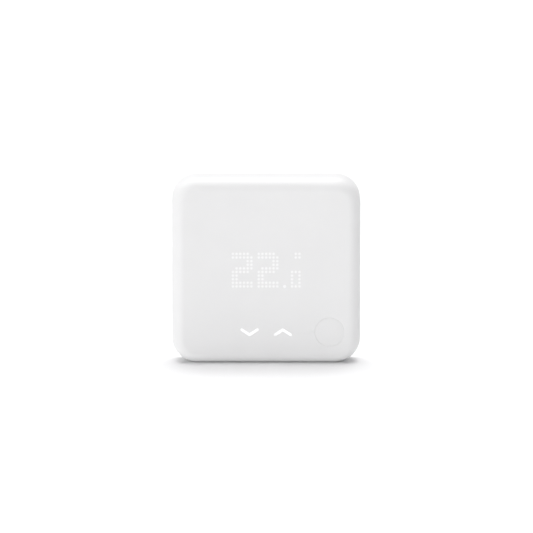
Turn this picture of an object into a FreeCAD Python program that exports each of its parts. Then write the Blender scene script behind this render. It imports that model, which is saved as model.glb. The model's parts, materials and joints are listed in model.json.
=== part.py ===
import FreeCAD
import Part
import Sketcher
import math
import os

from FreeCAD import Placement, Rotation, Vector

# Wall thermostat.  Millimetres, +Z up.  The origin is the centre of the wall plate's rear face, the
# face that lies on the wall, and the unit stands out of the wall towards -Y.  "Forward" below is the
# distance from the wall, so a point 19 forward lies at y = -19.

doc = FreeCAD.newDocument("wall_thermostat")
sheet = doc.addObject("Spreadsheet::Sheet", "dims")

DIMENSIONS = [
    # outer shell
    ("unit_width", 104.0, "square front, width and height"),
    ("unit_depth", 19.0, "wall to front face"),
    ("corner_radius", 14.0, "outline corners"),
    ("edge_fillet", 6.8, "rounding between front face and sides"),
    ("shell_wall", 1.7, "moulded wall"),
    ("wall_gap", 0.6, "shell's rear edge to the wall"),
    ("shell_clearance", 0.5, "shell to the plates inside it"),
    ("window_skin", 0.8, "wall left over the display"),
    ("vent_first", -32.0, "first vent slot from the middle, along X"),
    ("vent_forward", 9.0, "front row of vent slots, forward of the wall"),
    ("vent_pitch", 8.0, "vent slots, along X"),
    ("vent_row_pitch", 2.4, "rows of vent slots"),
    ("vent_count", 5, "vent slots in a row"),
    ("vent_rows", 2, "rows of vent slots"),
    ("vent_length", 5.0, "one vent slot"),
    ("vent_breadth", 1.2, "one vent slot"),
    ("vent_radius", 0.5, "vent slot corners"),
    # display
    ("led_pitch", 2.04, "lattice pitch"),
    ("led_columns", 19, "lattice columns"),
    ("led_rows", 10, "lattice rows"),
    ("display_rise", 1.1, "display centre above the middle"),
    ("display_border", 1.2, "baffle beyond the outer wells"),
    ("led_length", 1.0, "one light chip"),
    ("led_breadth", 0.6, "one light chip"),
    ("led_height", 0.4, "one light chip"),
    ("well_radius", 0.65, "light well"),
    ("film_thickness", 0.2, "diffuser film"),
    # touch marks
    ("mark_spread", 9.2, "touch mark centre from the middle"),
    ("control_drop", 34.0, "touch marks and button below the middle"),
    ("stroke_radius", 0.62, "half the stroke of a mark"),
    ("mark_half_run", 4.3, "centre line, point to either end, along X"),
    ("mark_rise", 2.9, "centre line, end to point, along Z"),
    ("guide_base_width", 13.0, "light guide behind the wall"),
    ("guide_base_height", 9.0, "light guide behind the wall"),
    ("guide_base_depth", 1.0, "light guide behind the wall"),
    ("guide_radius", 1.0, "light guide's corners"),
    ("touch_pad_depth", 0.2, "copper frame"),
    ("touch_window_width", 5.0, "hole in the copper frame"),
    ("touch_window_height", 4.0, "hole in the copper frame"),
    ("touch_led_length", 1.6, "light chip behind a mark"),
    ("touch_led_breadth", 0.8, "light chip behind a mark"),
    ("touch_led_height", 0.5, "light chip behind a mark"),
    # main button
    ("button_side", 35.0, "button centre from the middle"),
    ("button_hole_radius", 8.1, "hole in the shell"),
    ("button_ring_gap", 0.1, "gap round the cap"),
    ("button_edge", 0.12, "rounding of the cap's front edge"),
    ("button_flange_radius", 8.8, "flange behind the wall"),
    ("button_flange_depth", 0.8, "flange"),
    ("button_flange_gap", 0.1, "flange to the front wall"),
    ("button_skin", 1.2, "cap's front and side wall"),
    ("button_travel", 0.3, "key travel"),
    ("button_post_radius", 1.5, "post on the switch"),
    ("button_post_gap", 0.02, "post to the plunger"),
    ("button_post_root", 0.4, "post runs into the cap"),
    ("switch_width", 5.2, "key switch"),
    ("switch_depth", 1.1, "key switch"),
    ("switch_radius", 0.5, "key switch corners"),
    ("switch_floor", 0.2, "key switch under its plunger"),
    ("switch_spare", 0.1, "room under the pressed plunger"),
    ("plunger_radius", 1.2, "key switch plunger"),
    ("plunger_proud", 0.5, "plunger out of its case"),
    ("running_gap", 0.05, "running fit, radial"),
    # main board
    ("board_rear", 14.2, "board's rear face, forward of the wall"),
    ("board_front", 15.4, "board's front face, forward of the wall"),
    ("board_width", 92.0, "main board"),
    ("board_height", 76.0, "main board"),
    ("board_radius", 3.0, "main board's corners"),
    ("tail_slot_spare", 0.4, "slots for the contact tails, along X"),
    ("tail_slot_height", 2.6, "slots for the contact tails, along Z"),
    ("pin_hole_radius", 0.7, "holes for the terminals' legs"),
    ("board_screw_side", 42.0, "board screws"),
    ("board_screw_top", 33.0, "upper board screws"),
    ("board_screw_drop", 18.0, "lower board screws"),
    ("boss_radius", 2.5, "screw bosses in the shell"),
    ("pilot_radius", 0.8, "pilot holes in the bosses"),
    ("pilot_depth", 7.0, "pilot holes in the corner bosses"),
    ("boss_root", 0.6, "bosses run into the front wall"),
    ("screw_clear_radius", 1.2, "clearance holes for the screws"),
    ("screw_cross", 0.45, "cross recess, width of its arms"),
    ("screw_fit", 0.02, "screws in their pilot holes, radial"),
    ("screw_bevel", 0.3, "screw heads and tips"),
    ("board_screw_head_radius", 1.8, "board screws"),
    ("board_screw_head", 0.9, "board screws, depth of the head"),
    ("board_screw_length", 2.9, "board screws under the head"),
    # on the board's rear
    ("shield_side", 32.0, "radio shield's centre from the middle"),
    ("shield_drop", 27.0, "radio shield's centre below the middle"),
    ("shield_width", 13.0, "radio shield"),
    ("shield_height", 12.0, "radio shield"),
    ("shield_sheet", 0.2, "radio shield"),
    ("shield_depth", 2.1, "radio shield"),
    ("shield_radius", 0.6, "radio shield's corners"),
    ("shield_edge", 0.15, "radio shield's rear edge"),
    ("radio_board_depth", 0.8, "radio board under the shield"),
    ("can_side", 20.0, "first capacitor can from the middle"),
    ("can_drop", 9.0, "capacitor cans below the middle"),
    ("can_pitch", 8.0, "capacitor cans"),
    ("can_radius", 3.15, "capacitor can"),
    ("can_neck_radius", 2.85, "capacitor can at its crimp"),
    ("can_height", 7.0, "capacitor can"),
    ("can_bevel", 0.3, "capacitor can's edges"),
    ("can_neck_low", 1.0, "crimp, from the board"),
    ("can_neck_high", 2.0, "crimp, from the board"),
    # rear chassis
    ("chassis_rear", 5.0, "chassis plate's rear face, forward of the wall"),
    ("chassis_plate", 1.0, "chassis plate"),
    ("chassis_screw_offset", 44.0, "chassis screws from both middles"),
    ("tub_rise", 21.5, "battery bay's centre above the middle"),
    ("tub_length", 50.0, "battery bay inside, along X"),
    ("tub_height", 33.6, "battery bay inside, along Z"),
    ("tub_wall", 1.0, "battery bay wall"),
    ("tub_rim", 2.6, "battery bay's rear rim, forward of the wall"),
    ("tub_floor_rear", 12.7, "battery bay's floor, forward of the wall"),
    ("tub_floor_front", 13.4, "battery bay's floor, forward of the wall"),
    ("tub_radius", 1.5, "battery bay's corners"),
    ("saddle_side", 12.0, "saddles under the cells, from the middle"),
    ("saddle_height", 3.0, "saddles above the bay's floor"),
    ("saddle_width", 2.0, "saddles along X"),
    ("saddle_sheet", 1.1, "saddles along Z"),
    ("saddle_root", 0.2, "saddles run into the bay's floor"),
    ("chassis_screw_head_radius", 1.9, "chassis screws"),
    ("chassis_screw_head", 1.3, "chassis screws, depth of the head"),
    ("chassis_screw_length", 7.0, "chassis screws under the head"),
    ("chute_width", 26.0, "wiring chamber inside"),
    ("chute_height", 19.6, "wiring chamber inside"),
    ("chute_drop", 17.5, "wiring chamber's centre below the middle"),
    ("chute_radius", 1.2, "wiring chamber's corners"),
    ("chute_gap", 0.5, "wiring chamber to the board"),
    # batteries, size AAA
    ("cell_radius", 5.25, "cell"),
    ("cell_length", 44.5, "cell with its button"),
    ("cell_button_radius", 1.9, "positive button"),
    ("cell_button_length", 1.0, "positive button"),
    ("cell_bevel", 0.5, "cell's shoulders"),
    ("cell_pitch", 11.1, "cell spacing"),
    ("cell_forward", 7.35, "cell axis, forward of the wall"),
    ("contact_sheet", 0.4, "contact plates"),
    ("contact_width", 8.8, "contact plates"),
    ("contact_tail", 2.0, "solder tails of the contact plates"),
    ("tail_proud", 0.3, "solder tails through the board"),
    ("dimple_width", 2.4, "raised dimple of a contact plate"),
    ("dimple_depth", 0.4, "raised dimple of a contact plate"),
    ("spring_radius", 4.25, "bow springs, outside"),
    ("spring_sheet", 0.3, "bow springs"),
    ("spring_width", 5.0, "bow springs along Z"),
    # terminal block
    ("pole_pitch", 5.08, "terminal spacing"),
    ("pole_count", 4, "terminals"),
    ("pole_drop", 13.5, "screw axes below the middle"),
    ("block_rear", 4.2, "terminal block's rear face, forward of the wall"),
    ("block_height", 7.6, "terminal block along Z"),
    ("block_spare", 0.5, "block beyond its outer poles, both ends together"),
    ("block_rise", 0.3, "block's centre above the screws"),
    ("block_edge", 0.3, "block's rear edge"),
    ("mouth_width", 2.8, "wire mouths"),
    ("mouth_reach", 3.0, "wire mouths, through the block's lower wall"),
    ("cavity_width", 4.2, "clamp chamber"),
    ("cavity_height", 4.7, "clamp chamber"),
    ("cavity_rear", 6.9, "clamp chamber, forward of the wall"),
    ("cavity_front", 13.5, "clamp chamber, forward of the wall"),
    ("cage_width", 3.9, "clamp cage"),
    ("cage_height", 4.2, "clamp cage"),
    ("cage_rear", 8.7, "open cage's rear face, forward of the wall"),
    ("cage_front", 13.3, "open cage's front face, forward of the wall"),
    ("cage_web", 1.0, "threaded web of the cage"),
    ("cage_sheet", 0.7, "cage sides"),
    ("clamp_screw_radius", 1.25, "terminal screw shank"),
    ("clamp_head_radius", 1.8, "terminal screw head"),
    ("clamp_head_rear", 4.5, "head's rear face, forward of the wall"),
    ("clamp_head_front", 6.05, "head's seat, forward of the wall"),
    ("clamp_seat", 6.1, "shoulder in the block, forward of the wall"),
    ("clamp_clearance", 0.1, "head and shank in the block, radial"),
    ("clamp_tip_gap", 0.05, "shank's tip to the contact bar"),
    ("clamp_bevel", 0.25, "terminal screw's edges"),
    ("clamp_slot_length", 5.0, "driver slot, past both sides"),
    ("clamp_slot_width", 0.6, "driver slot"),
    ("clamp_slot_depth", 0.7, "driver slot"),
    ("contact_bar_rear", 9.8, "contact bar, forward of the wall"),
    ("contact_bar_depth", 0.8, "contact bar"),
    ("contact_bar_width", 2.4, "contact bar"),
    ("contact_bar_overhang", 0.4, "contact bar past the chamber and past its leg"),
    ("leg_rise", 0.6, "contact leg above the chamber"),
    ("leg_width", 1.0, "contact leg"),
    ("leg_height", 0.8, "contact leg"),
    ("leg_proud", 0.2, "contact leg through the board"),
    # wall plate
    ("plate_depth", 1.8, "wall plate"),
    ("rim_depth", 1.4, "rib round the wall plate"),
    ("rib_width", 1.2, "ribs"),
    ("plate_screw_side", 30.0, "wall screws from the middle"),
    ("plate_slot_length", 8.0, "wall screw slots end to end"),
    ("plate_slot_radius", 2.2, "wall screw slots"),
    ("corner_hole_offset", 36.0, "corner holes from both middles"),
    ("corner_hole_radius", 2.0, "corner holes"),
    ("inlet_width", 40.0, "cable opening"),
    ("inlet_height", 20.0, "cable opening"),
    ("inlet_drop", 18.0, "cable opening's centre below the middle"),
    ("inlet_radius", 2.0, "cable opening's corners"),
    ("prong_side", 28.0, "snap prongs from the middle"),
    ("prong_rise", 44.2, "snap prongs above and below the middle"),
    ("prong_width", 8.0, "snap prongs"),
    ("prong_sheet", 1.4, "snap prongs"),
    ("prong_reach", 8.2, "snap prongs' tips, forward of the wall"),
    ("prong_nose", 0.4, "snap noses"),
    ("prong_root", 0.3, "snap prongs run into the plate"),
    ("nose_gap", 0.2, "snap noses to the chassis"),
    ("nose_inset", 2.0, "snap noses, narrower than their prongs"),
    ("nose_depth", 1.2, "snap noses, forward"),
    ("prong_clearance", 0.3, "snap prongs in the chassis"),
    ("pad_width", 8.0, "adhesive pads"),
    ("pad_height", 60.0, "adhesive pads"),
    ("pad_side", 43.0, "adhesive pads from the middle"),
    ("pad_recess", 0.9, "adhesive pads' recess"),
]


class Size:
    """A length that knows its value and the spreadsheet formula behind it."""

    def __init__(self, value, formula):
        self.value = value
        self.formula = formula

    def __add__(self, other):
        other = as_size(other)
        return Size(self.value + other.value, f"({self.formula} + {other.formula})")

    def __sub__(self, other):
        other = as_size(other)
        return Size(self.value - other.value, f"({self.formula} - {other.formula})")

    def __mul__(self, other):
        other = as_size(other)
        return Size(self.value * other.value, f"({self.formula} * {other.formula})")

    def __truediv__(self, other):
        other = as_size(other)
        return Size(self.value / other.value, f"({self.formula} / {other.formula})")

    def __neg__(self):
        return Size(-self.value, f"(0 - {self.formula})")


def as_size(number):
    if isinstance(number, Size):
        return number
    return Size(float(number), repr(float(number)))


def fill_sheet():
    """Writes every dimension to its own named cell."""
    for row, (alias, value, note) in enumerate(DIMENSIONS, start=1):
        sheet.set(f"A{row}", alias)
        sheet.set(f"B{row}", str(value))
        sheet.setAlias(f"B{row}", alias)
        sheet.set(f"C{row}", note)
    doc.recompute()


class Dims:
    """Gives each named cell as a Size."""

    def __init__(self):
        for alias, value, _ in DIMENSIONS:
            setattr(self, alias, Size(value, f"dims.{alias}"))


fill_sheet()
d = Dims()
ZERO = as_size(0)
REACH_PAST = as_size(0.5)
SMALLEST_CUT = 0.01

# cross recess of a screw: its span over the head's radius, its depth over the head's depth
CROSS_SPAN = 1.3
CROSS_DEPTH = 0.6

# ------------------------------------------------------------------ sketch and feature helpers


def bind(thing, path, size):
    """Drives one property of an object from the spreadsheet."""
    thing.setExpression(path, as_size(size).formula)


def new_body(label, compound=False):
    body = doc.addObject("PartDesign::Body", label)
    body.Label = label
    body.AllowCompound = compound
    return body


def origin_part(body, role):
    return [part for part in body.Origin.OriginFeatures if part.Role == role][0]


def new_sketch(body, name, forward=ZERO, x=ZERO, z=ZERO, plane="XZ_Plane", turn=None):
    """A sketch whose own origin stands at x, z, the given distance forward of the wall."""
    sketch = body.newObject("Sketcher::SketchObject", name)
    sketch.AttachmentSupport = (origin_part(body, plane), [""])
    sketch.MapMode = "FlatFace"
    if turn is not None:
        start = Rotation(Vector(0, 0, 1), turn.value)
        sketch.AttachmentOffset = Placement(Vector(0, 0, 0), start)
        bind(sketch, "AttachmentOffset.Rotation.Angle", turn)
    bind(sketch, "AttachmentOffset.Base.x", x)
    bind(sketch, "AttachmentOffset.Base.y", z)
    bind(sketch, "AttachmentOffset.Base.z", forward)
    return sketch


def name_size(sketch, constraint, name, size):
    """Adds a dimension to a sketch and drives it from the spreadsheet."""
    index = sketch.addConstraint(constraint)
    sketch.renameConstraint(index, name)
    bind(sketch, f"Constraints.{name}", size)


def draw_rectangle(sketch, width, height):
    half_w = as_size(width).value / 2
    half_h = as_size(height).value / 2
    corners = [
        Vector(-half_w, -half_h, 0),
        Vector(half_w, -half_h, 0),
        Vector(half_w, half_h, 0),
        Vector(-half_w, half_h, 0),
    ]
    first = sketch.GeometryCount
    for start, end in zip(corners, corners[1:] + corners[:1]):
        sketch.addGeometry(Part.LineSegment(start, end), False)
    for side in range(4):
        joined = first + (side + 1) % 4
        sketch.addConstraint(Sketcher.Constraint("Coincident", first + side, 2, joined, 1))
    for side, direction in enumerate(["Horizontal", "Vertical", "Horizontal", "Vertical"]):
        sketch.addConstraint(Sketcher.Constraint(direction, first + side))
    sketch.addConstraint(Sketcher.Constraint("Symmetric", first, 1, first + 2, 1, -1, 1))
    wide = Sketcher.Constraint("DistanceX", first, 1, first, 2, 2 * half_w)
    tall = Sketcher.Constraint("DistanceY", first + 1, 1, first + 1, 2, 2 * half_h)
    name_size(sketch, wide, f"width_{first}", width)
    name_size(sketch, tall, f"height_{first}", height)


def draw_rounded_rectangle(sketch, width, height, radius):
    radius = as_size(radius)
    half_w = as_size(width).value / 2
    half_h = as_size(height).value / 2
    in_w = half_w - radius.value
    in_h = half_h - radius.value
    sides = [
        (Vector(-in_w, -half_h, 0), Vector(in_w, -half_h, 0)),
        (Vector(half_w, -in_h, 0), Vector(half_w, in_h, 0)),
        (Vector(in_w, half_h, 0), Vector(-in_w, half_h, 0)),
        (Vector(-half_w, in_h, 0), Vector(-half_w, -in_h, 0)),
    ]
    centres = [(in_w, -in_h), (in_w, in_h), (-in_w, in_h), (-in_w, -in_h)]
    first = sketch.GeometryCount
    for start, end in sides:
        sketch.addGeometry(Part.LineSegment(start, end), False)
    for quarter, (x, z) in enumerate(centres):
        circle = Part.Circle(Vector(x, z, 0), Vector(0, 0, 1), radius.value)
        start_angle = (quarter - 1) * math.pi / 2
        arc = Part.ArcOfCircle(circle, start_angle, start_angle + math.pi / 2)
        sketch.addGeometry(arc, False)
    for side in range(4):
        arc = first + 4 + side
        following = first + (side + 1) % 4
        sketch.addConstraint(Sketcher.Constraint("Tangent", first + side, 2, arc, 1))
        sketch.addConstraint(Sketcher.Constraint("Tangent", arc, 2, following, 1))
    for side, direction in enumerate(["Horizontal", "Vertical", "Horizontal", "Vertical"]):
        sketch.addConstraint(Sketcher.Constraint(direction, first + side))
    for other in (1, 2, 3):
        sketch.addConstraint(Sketcher.Constraint("Equal", first + 4, first + 4 + other))
    sketch.addConstraint(Sketcher.Constraint("Symmetric", first, 1, first + 2, 1, -1, 1))
    wide = Sketcher.Constraint("DistanceX", first + 3, 1, first + 1, 1, 2 * half_w)
    tall = Sketcher.Constraint("DistanceY", first, 1, first + 2, 1, 2 * half_h)
    name_size(sketch, wide, f"width_{first}", width)
    name_size(sketch, tall, f"height_{first}", height)
    name_size(sketch, Sketcher.Constraint("Radius", first + 4, radius.value), f"radius_{first}", radius)


def draw_circle(sketch, radius, x=ZERO, z=ZERO):
    index = sketch.GeometryCount
    centre = Vector(as_size(x).value, as_size(z).value, 0)
    circle = Part.Circle(centre, Vector(0, 0, 1), as_size(radius).value)
    sketch.addGeometry(circle, False)
    across = Sketcher.Constraint("DistanceX", -1, 1, index, 3, centre.x)
    up = Sketcher.Constraint("DistanceY", -1, 1, index, 3, centre.y)
    name_size(sketch, across, f"across_{index}", x)
    name_size(sketch, up, f"up_{index}", z)
    round_size = Sketcher.Constraint("Radius", index, as_size(radius).value)
    name_size(sketch, round_size, f"radius_{index}", radius)


def draw_slot(sketch, length, radius):
    """A round-ended slot along the sketch's own x axis; length runs between the end centres."""
    half = as_size(length).value / 2
    r = as_size(radius).value
    right_end = Part.Circle(Vector(half, 0, 0), Vector(0, 0, 1), r)
    left_end = Part.Circle(Vector(-half, 0, 0), Vector(0, 0, 1), r)
    quarter = math.pi / 2
    sketch.addGeometry(Part.LineSegment(Vector(-half, -r, 0), Vector(half, -r, 0)), False)
    sketch.addGeometry(Part.ArcOfCircle(right_end, -quarter, quarter), False)
    sketch.addGeometry(Part.LineSegment(Vector(half, r, 0), Vector(-half, r, 0)), False)
    sketch.addGeometry(Part.ArcOfCircle(left_end, quarter, 3 * quarter), False)
    for edge in range(4):
        joined = (edge + 1) % 4
        sketch.addConstraint(Sketcher.Constraint("Tangent", edge, 2, joined, 1))
    sketch.addConstraint(Sketcher.Constraint("Equal", 1, 3))
    sketch.addConstraint(Sketcher.Constraint("Symmetric", 1, 3, 3, 3, -1, 1))
    sketch.addConstraint(Sketcher.Constraint("PointOnObject", 1, 3, -1))
    name_size(sketch, Sketcher.Constraint("Radius", 1, r), "slot_radius", radius)
    name_size(sketch, Sketcher.Constraint("DistanceX", 3, 3, 1, 3, 2 * half), "slot_run", length)


def draw_chevron(sketch, half_run, rise, radius):
    """A round-ended stroke bent once: its point is at the top, its ends at the bottom."""
    run = half_run.value
    high = rise.value / 2
    r = radius.value
    tilt = math.atan2(rise.value, run)
    outward = math.pi / 2
    left_normal = Vector(math.cos(outward + tilt), math.sin(outward + tilt), 0) * r
    right_normal = Vector(math.cos(outward - tilt), math.sin(outward - tilt), 0) * r
    left = Vector(-run, -high, 0)
    point = Vector(0, high, 0)
    right = Vector(run, -high, 0)
    notch = Vector(0, high - r / math.cos(tilt), 0)
    axis = Vector(0, 0, 1)
    sketch.addGeometry(Part.LineSegment(notch, left - left_normal), False)
    sketch.addGeometry(Part.LineSegment(left + left_normal, point + left_normal), False)
    sketch.addGeometry(Part.LineSegment(point + right_normal, right + right_normal), False)
    sketch.addGeometry(Part.LineSegment(right - right_normal, notch), False)
    arcs = [
        (left, outward + tilt, outward + tilt + math.pi),
        (point, outward - tilt, outward + tilt),
        (right, -outward - tilt, outward - tilt),
    ]
    for centre, start, end in arcs:
        sketch.addGeometry(Part.ArcOfCircle(Part.Circle(centre, axis, r), start, end), False)
    joints = [(0, 2, 4, 2), (1, 1, 4, 1), (1, 2, 5, 2), (2, 1, 5, 1), (2, 2, 6, 2), (3, 1, 6, 1)]
    for joint in joints:
        sketch.addConstraint(Sketcher.Constraint("Tangent", *joint))
    sketch.addConstraint(Sketcher.Constraint("Coincident", 3, 2, 0, 1))
    sketch.addConstraint(Sketcher.Constraint("Parallel", 0, 1))
    sketch.addConstraint(Sketcher.Constraint("Parallel", 2, 3))
    sketch.addConstraint(Sketcher.Constraint("Equal", 4, 5))
    sketch.addConstraint(Sketcher.Constraint("Equal", 4, 6))
    name_size(sketch, Sketcher.Constraint("Radius", 4, r), "stroke_radius", radius)
    low = -rise / 2
    centres = [(4, left, -half_run, low), (5, point, ZERO, rise / 2), (6, right, half_run, low)]
    for arc, centre, x, z in centres:
        across = Sketcher.Constraint("DistanceX", -1, 1, arc, 3, centre.x)
        up = Sketcher.Constraint("DistanceY", -1, 1, arc, 3, centre.y)
        name_size(sketch, across, f"across_{arc}", x)
        name_size(sketch, up, f"up_{arc}", z)


def draw_profile(sketch, points):
    """A closed outline of straight lines, each corner placed by two driven distances."""
    places = [Vector(as_size(x).value, as_size(y).value, 0) for x, y in points]
    count = len(points)
    for start, end in zip(places, places[1:] + places[:1]):
        sketch.addGeometry(Part.LineSegment(start, end), False)
    for edge in range(count):
        joined = (edge + 1) % count
        sketch.addConstraint(Sketcher.Constraint("Coincident", edge, 2, joined, 1))
    for corner, (x, y) in enumerate(points):
        across = Sketcher.Constraint("DistanceX", -1, 1, corner, 1, places[corner].x)
        up = Sketcher.Constraint("DistanceY", -1, 1, corner, 1, places[corner].y)
        name_size(sketch, across, f"across_{corner}", x)
        name_size(sketch, up, f"up_{corner}", y)


def add_pad(body, sketch, length):
    """Grows the sketch away from the wall."""
    pad = body.newObject("PartDesign::Pad", f"{sketch.Name}_pad")
    pad.Profile = sketch
    bind(pad, "Length", length)
    return pad


def add_pocket(body, sketch, length):
    """Cuts from the sketch away from the wall, and makes sure that it took something away."""
    doc.recompute()
    volume_before = body.Shape.Volume
    pocket = body.newObject("PartDesign::Pocket", f"{sketch.Name}_pocket")
    pocket.Profile = sketch
    pocket.Reversed = True
    bind(pocket, "Length", length)
    doc.recompute()
    if body.Shape.Volume > volume_before - SMALLEST_CUT:
        raise ValueError(f"{pocket.Name} cuts nothing")
    return pocket


def turn_profile(body, profile, axis):
    """Turns a sketch once round one of its own axes."""
    turned = body.newObject("PartDesign::Revolution", f"{profile.Name}_turned")
    turned.Profile = profile
    turned.ReferenceAxis = (profile, [axis])
    turned.Angle = 360
    return turned


def faces_facing(shape, direction, limit):
    """Names of the flat faces that face one way at the given distance along it."""
    names = []
    for index, face in enumerate(shape.Faces, start=1):
        if face.Surface.TypeId != "Part::GeomPlane":
            continue
        u0, u1, v0, v1 = face.ParameterRange
        normal = face.normalAt((u0 + u1) / 2, (v0 + v1) / 2)
        at_limit = abs(face.CenterOfMass.dot(direction) - limit) < 0.01
        if normal.dot(direction) > 0.99 and at_limit:
            names.append(f"Face{index}")
    return names


def round_edges(body, feature, direction, limit, radius, kind="PartDesign::Fillet"):
    """Fillets or chamfers all edges of the flat faces that face one way."""
    doc.recompute()
    rounding = body.newObject(kind, f"{feature.Name}_edge")
    rounding.Base = (feature, faces_facing(feature.Shape, direction, as_size(limit).value))
    bind(rounding, "Size" if kind.endswith("Chamfer") else "Radius", radius)
    return rounding


def repeat_feature(body, feature, x_count, x_pitch, z_count, z_pitch):
    """Repeats a feature in columns along X and rows along Z."""
    grid = body.newObject("PartDesign::LinearPattern", f"{feature.Name}_grid")
    grid.Originals = [feature]
    grid.Direction = (origin_part(body, "X_Axis"), [""])
    grid.Direction2 = (origin_part(body, "Z_Axis"), [""])
    bind(grid, "Occurrences", x_count)
    bind(grid, "Occurrences2", z_count)
    bind(grid, "Length", as_size(x_pitch) * (as_size(x_count) - 1))
    bind(grid, "Length2", as_size(z_pitch) * (as_size(z_count) - 1))
    body.Tip = grid
    return grid


def make_block(label, x, z, width, height, rear, front, radius=None, edge=None, compound=False):
    """A flat piece parallel to the wall: a board, film, pad or chip."""
    body = new_body(label, compound)
    sketch = new_sketch(body, f"{label}_outline", rear, x, z)
    if radius is None:
        draw_rectangle(sketch, width, height)
    else:
        draw_rounded_rectangle(sketch, width, height, radius)
    pad = add_pad(body, sketch, as_size(front) - rear)
    if edge is not None:
        round_edges(body, pad, Vector(0, 1, 0), -as_size(rear), edge, "PartDesign::Chamfer")
    return body, pad


FORWARD = Vector(0, -1, 0)
REARWARD = Vector(0, 1, 0)
LENGTH_AXIS = "H_Axis"
DEPTH_AXIS = "V_Axis"

# positions that several pieces share
inner_front = d.unit_depth - d.shell_wall
window_front = d.unit_depth - d.window_skin
inside_width = d.unit_width - d.shell_wall * 2 - d.shell_clearance * 2
inside_radius = d.corner_radius - d.shell_wall - d.shell_clearance
display_width = d.led_pitch * (d.led_columns - 1) + d.well_radius * 2 + d.display_border * 2
display_height = d.led_pitch * (d.led_rows - 1) + d.well_radius * 2 + d.display_border * 2
first_column = -(d.led_pitch * (d.led_columns - 1) / 2)
first_row = d.display_rise - d.led_pitch * (d.led_rows - 1) / 2
film_rear = window_front - d.film_thickness
chassis_front = d.chassis_rear + d.chassis_plate
top_cell = d.tub_rise + d.cell_pitch
low_cell = d.tub_rise - d.cell_pitch
tail_x = d.tub_length / 2 - d.contact_sheet / 2
tail_slot_width = d.contact_sheet + d.tail_slot_spare

# terminal block
POLES = int(d.pole_count.value)
block_width = d.pole_pitch * d.pole_count + d.block_spare
block_z = d.block_rise - d.pole_drop
pin_z = d.cavity_height / 2 - d.pole_drop + d.leg_rise
head_well_radius = d.clamp_head_radius + d.clamp_clearance
shank_hole_radius = d.clamp_screw_radius + d.clamp_clearance
contact_bar_front = d.contact_bar_rear + d.contact_bar_depth
bar_low = -d.pole_drop - d.cavity_height / 2 - d.contact_bar_overhang
bar_high = pin_z + d.contact_bar_overhang
bar_z = (bar_low + bar_high) / 2
bar_reach = bar_high - bar_low


def pole_x(pole):
    return d.pole_pitch * (pole - (POLES - 1) / 2)


# ------------------------------------------------------------------ shell, display and controls


def draw_mark(body, name, forward, mark, mark_x):
    """The chevron of one touch mark, pointing up or down."""
    turn = as_size(0 if mark == "up" else 180)
    sketch = new_sketch(body, name, forward, mark_x, -d.control_drop, turn=turn)
    draw_chevron(sketch, d.mark_half_run, d.mark_rise, d.stroke_radius)
    return sketch


def make_front_housing():
    """The one-piece front shell, with screw bosses, display window and openings for the controls."""
    body = new_body("front_housing")
    outline = new_sketch(body, "housing_outline", d.wall_gap)
    draw_rounded_rectangle(outline, d.unit_width, d.unit_width, d.corner_radius)
    block = add_pad(body, outline, d.unit_depth - d.wall_gap)
    soft_edge = round_edges(body, block, FORWARD, d.unit_depth, d.edge_fillet)
    doc.recompute()
    shell = body.newObject("PartDesign::Thickness", "housing_shell")
    shell.Base = (soft_edge, faces_facing(soft_edge.Shape, REARWARD, -d.wall_gap.value))
    shell.Reversed = True
    shell.Join = "Intersection"
    bind(shell, "Value", d.shell_wall)

    corner_boss = new_sketch(body, "housing_corner_boss", chassis_front)
    board_boss = new_sketch(body, "housing_board_boss", d.board_front)
    corner_pilot = new_sketch(body, "housing_corner_pilot", chassis_front - REACH_PAST)
    board_pilot = new_sketch(body, "housing_board_pilot", d.board_front - REACH_PAST)
    for side in (-1, 1):
        across = d.chassis_screw_offset * side
        for rise in (d.chassis_screw_offset, -d.chassis_screw_offset):
            draw_circle(corner_boss, d.boss_radius, across, rise)
            draw_circle(corner_pilot, d.pilot_radius, across, rise)
        across = d.board_screw_side * side
        for rise in (d.board_screw_top, -d.board_screw_drop):
            draw_circle(board_boss, d.boss_radius, across, rise)
            draw_circle(board_pilot, d.pilot_radius, across, rise)
    add_pad(body, corner_boss, inner_front - chassis_front + d.boss_root - REACH_PAST)
    add_pad(body, board_boss, inner_front - d.board_front + d.boss_root)
    add_pocket(body, corner_pilot, d.pilot_depth)
    add_pocket(body, board_pilot, inner_front - d.board_front + REACH_PAST)

    window = new_sketch(body, "housing_window", inner_front - REACH_PAST, ZERO, d.display_rise)
    fit = d.running_gap * 2
    draw_rectangle(window, display_width + fit, display_height + fit)
    add_pocket(body, window, window_front - inner_front + REACH_PAST)

    through = d.shell_wall + REACH_PAST * 2
    behind = inner_front - REACH_PAST
    hole = new_sketch(body, "housing_button_hole", behind, d.button_side, -d.control_drop)
    draw_circle(hole, d.button_hole_radius)
    add_pocket(body, hole, through)
    for mark, direction in (("down", -1), ("up", 1)):
        sketch = draw_mark(body, f"housing_mark_{mark}", behind, mark, d.mark_spread * direction)
        add_pocket(body, sketch, through)

    vent = new_sketch(body, "housing_vent", plane="XY_Plane")
    bind(vent, "AttachmentOffset.Base.x", d.vent_first)
    bind(vent, "AttachmentOffset.Base.y", -d.vent_forward)
    bind(vent, "AttachmentOffset.Base.z", -(d.unit_width / 2 + REACH_PAST))
    draw_rounded_rectangle(vent, d.vent_length, d.vent_breadth, d.vent_radius)
    slot = add_pocket(body, vent, d.shell_wall + REACH_PAST * 2)
    vents = repeat_feature(body, slot, d.vent_count, d.vent_pitch, d.vent_rows, d.vent_row_pitch)
    vents.Direction2 = (origin_part(body, "Y_Axis"), [""])


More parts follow.
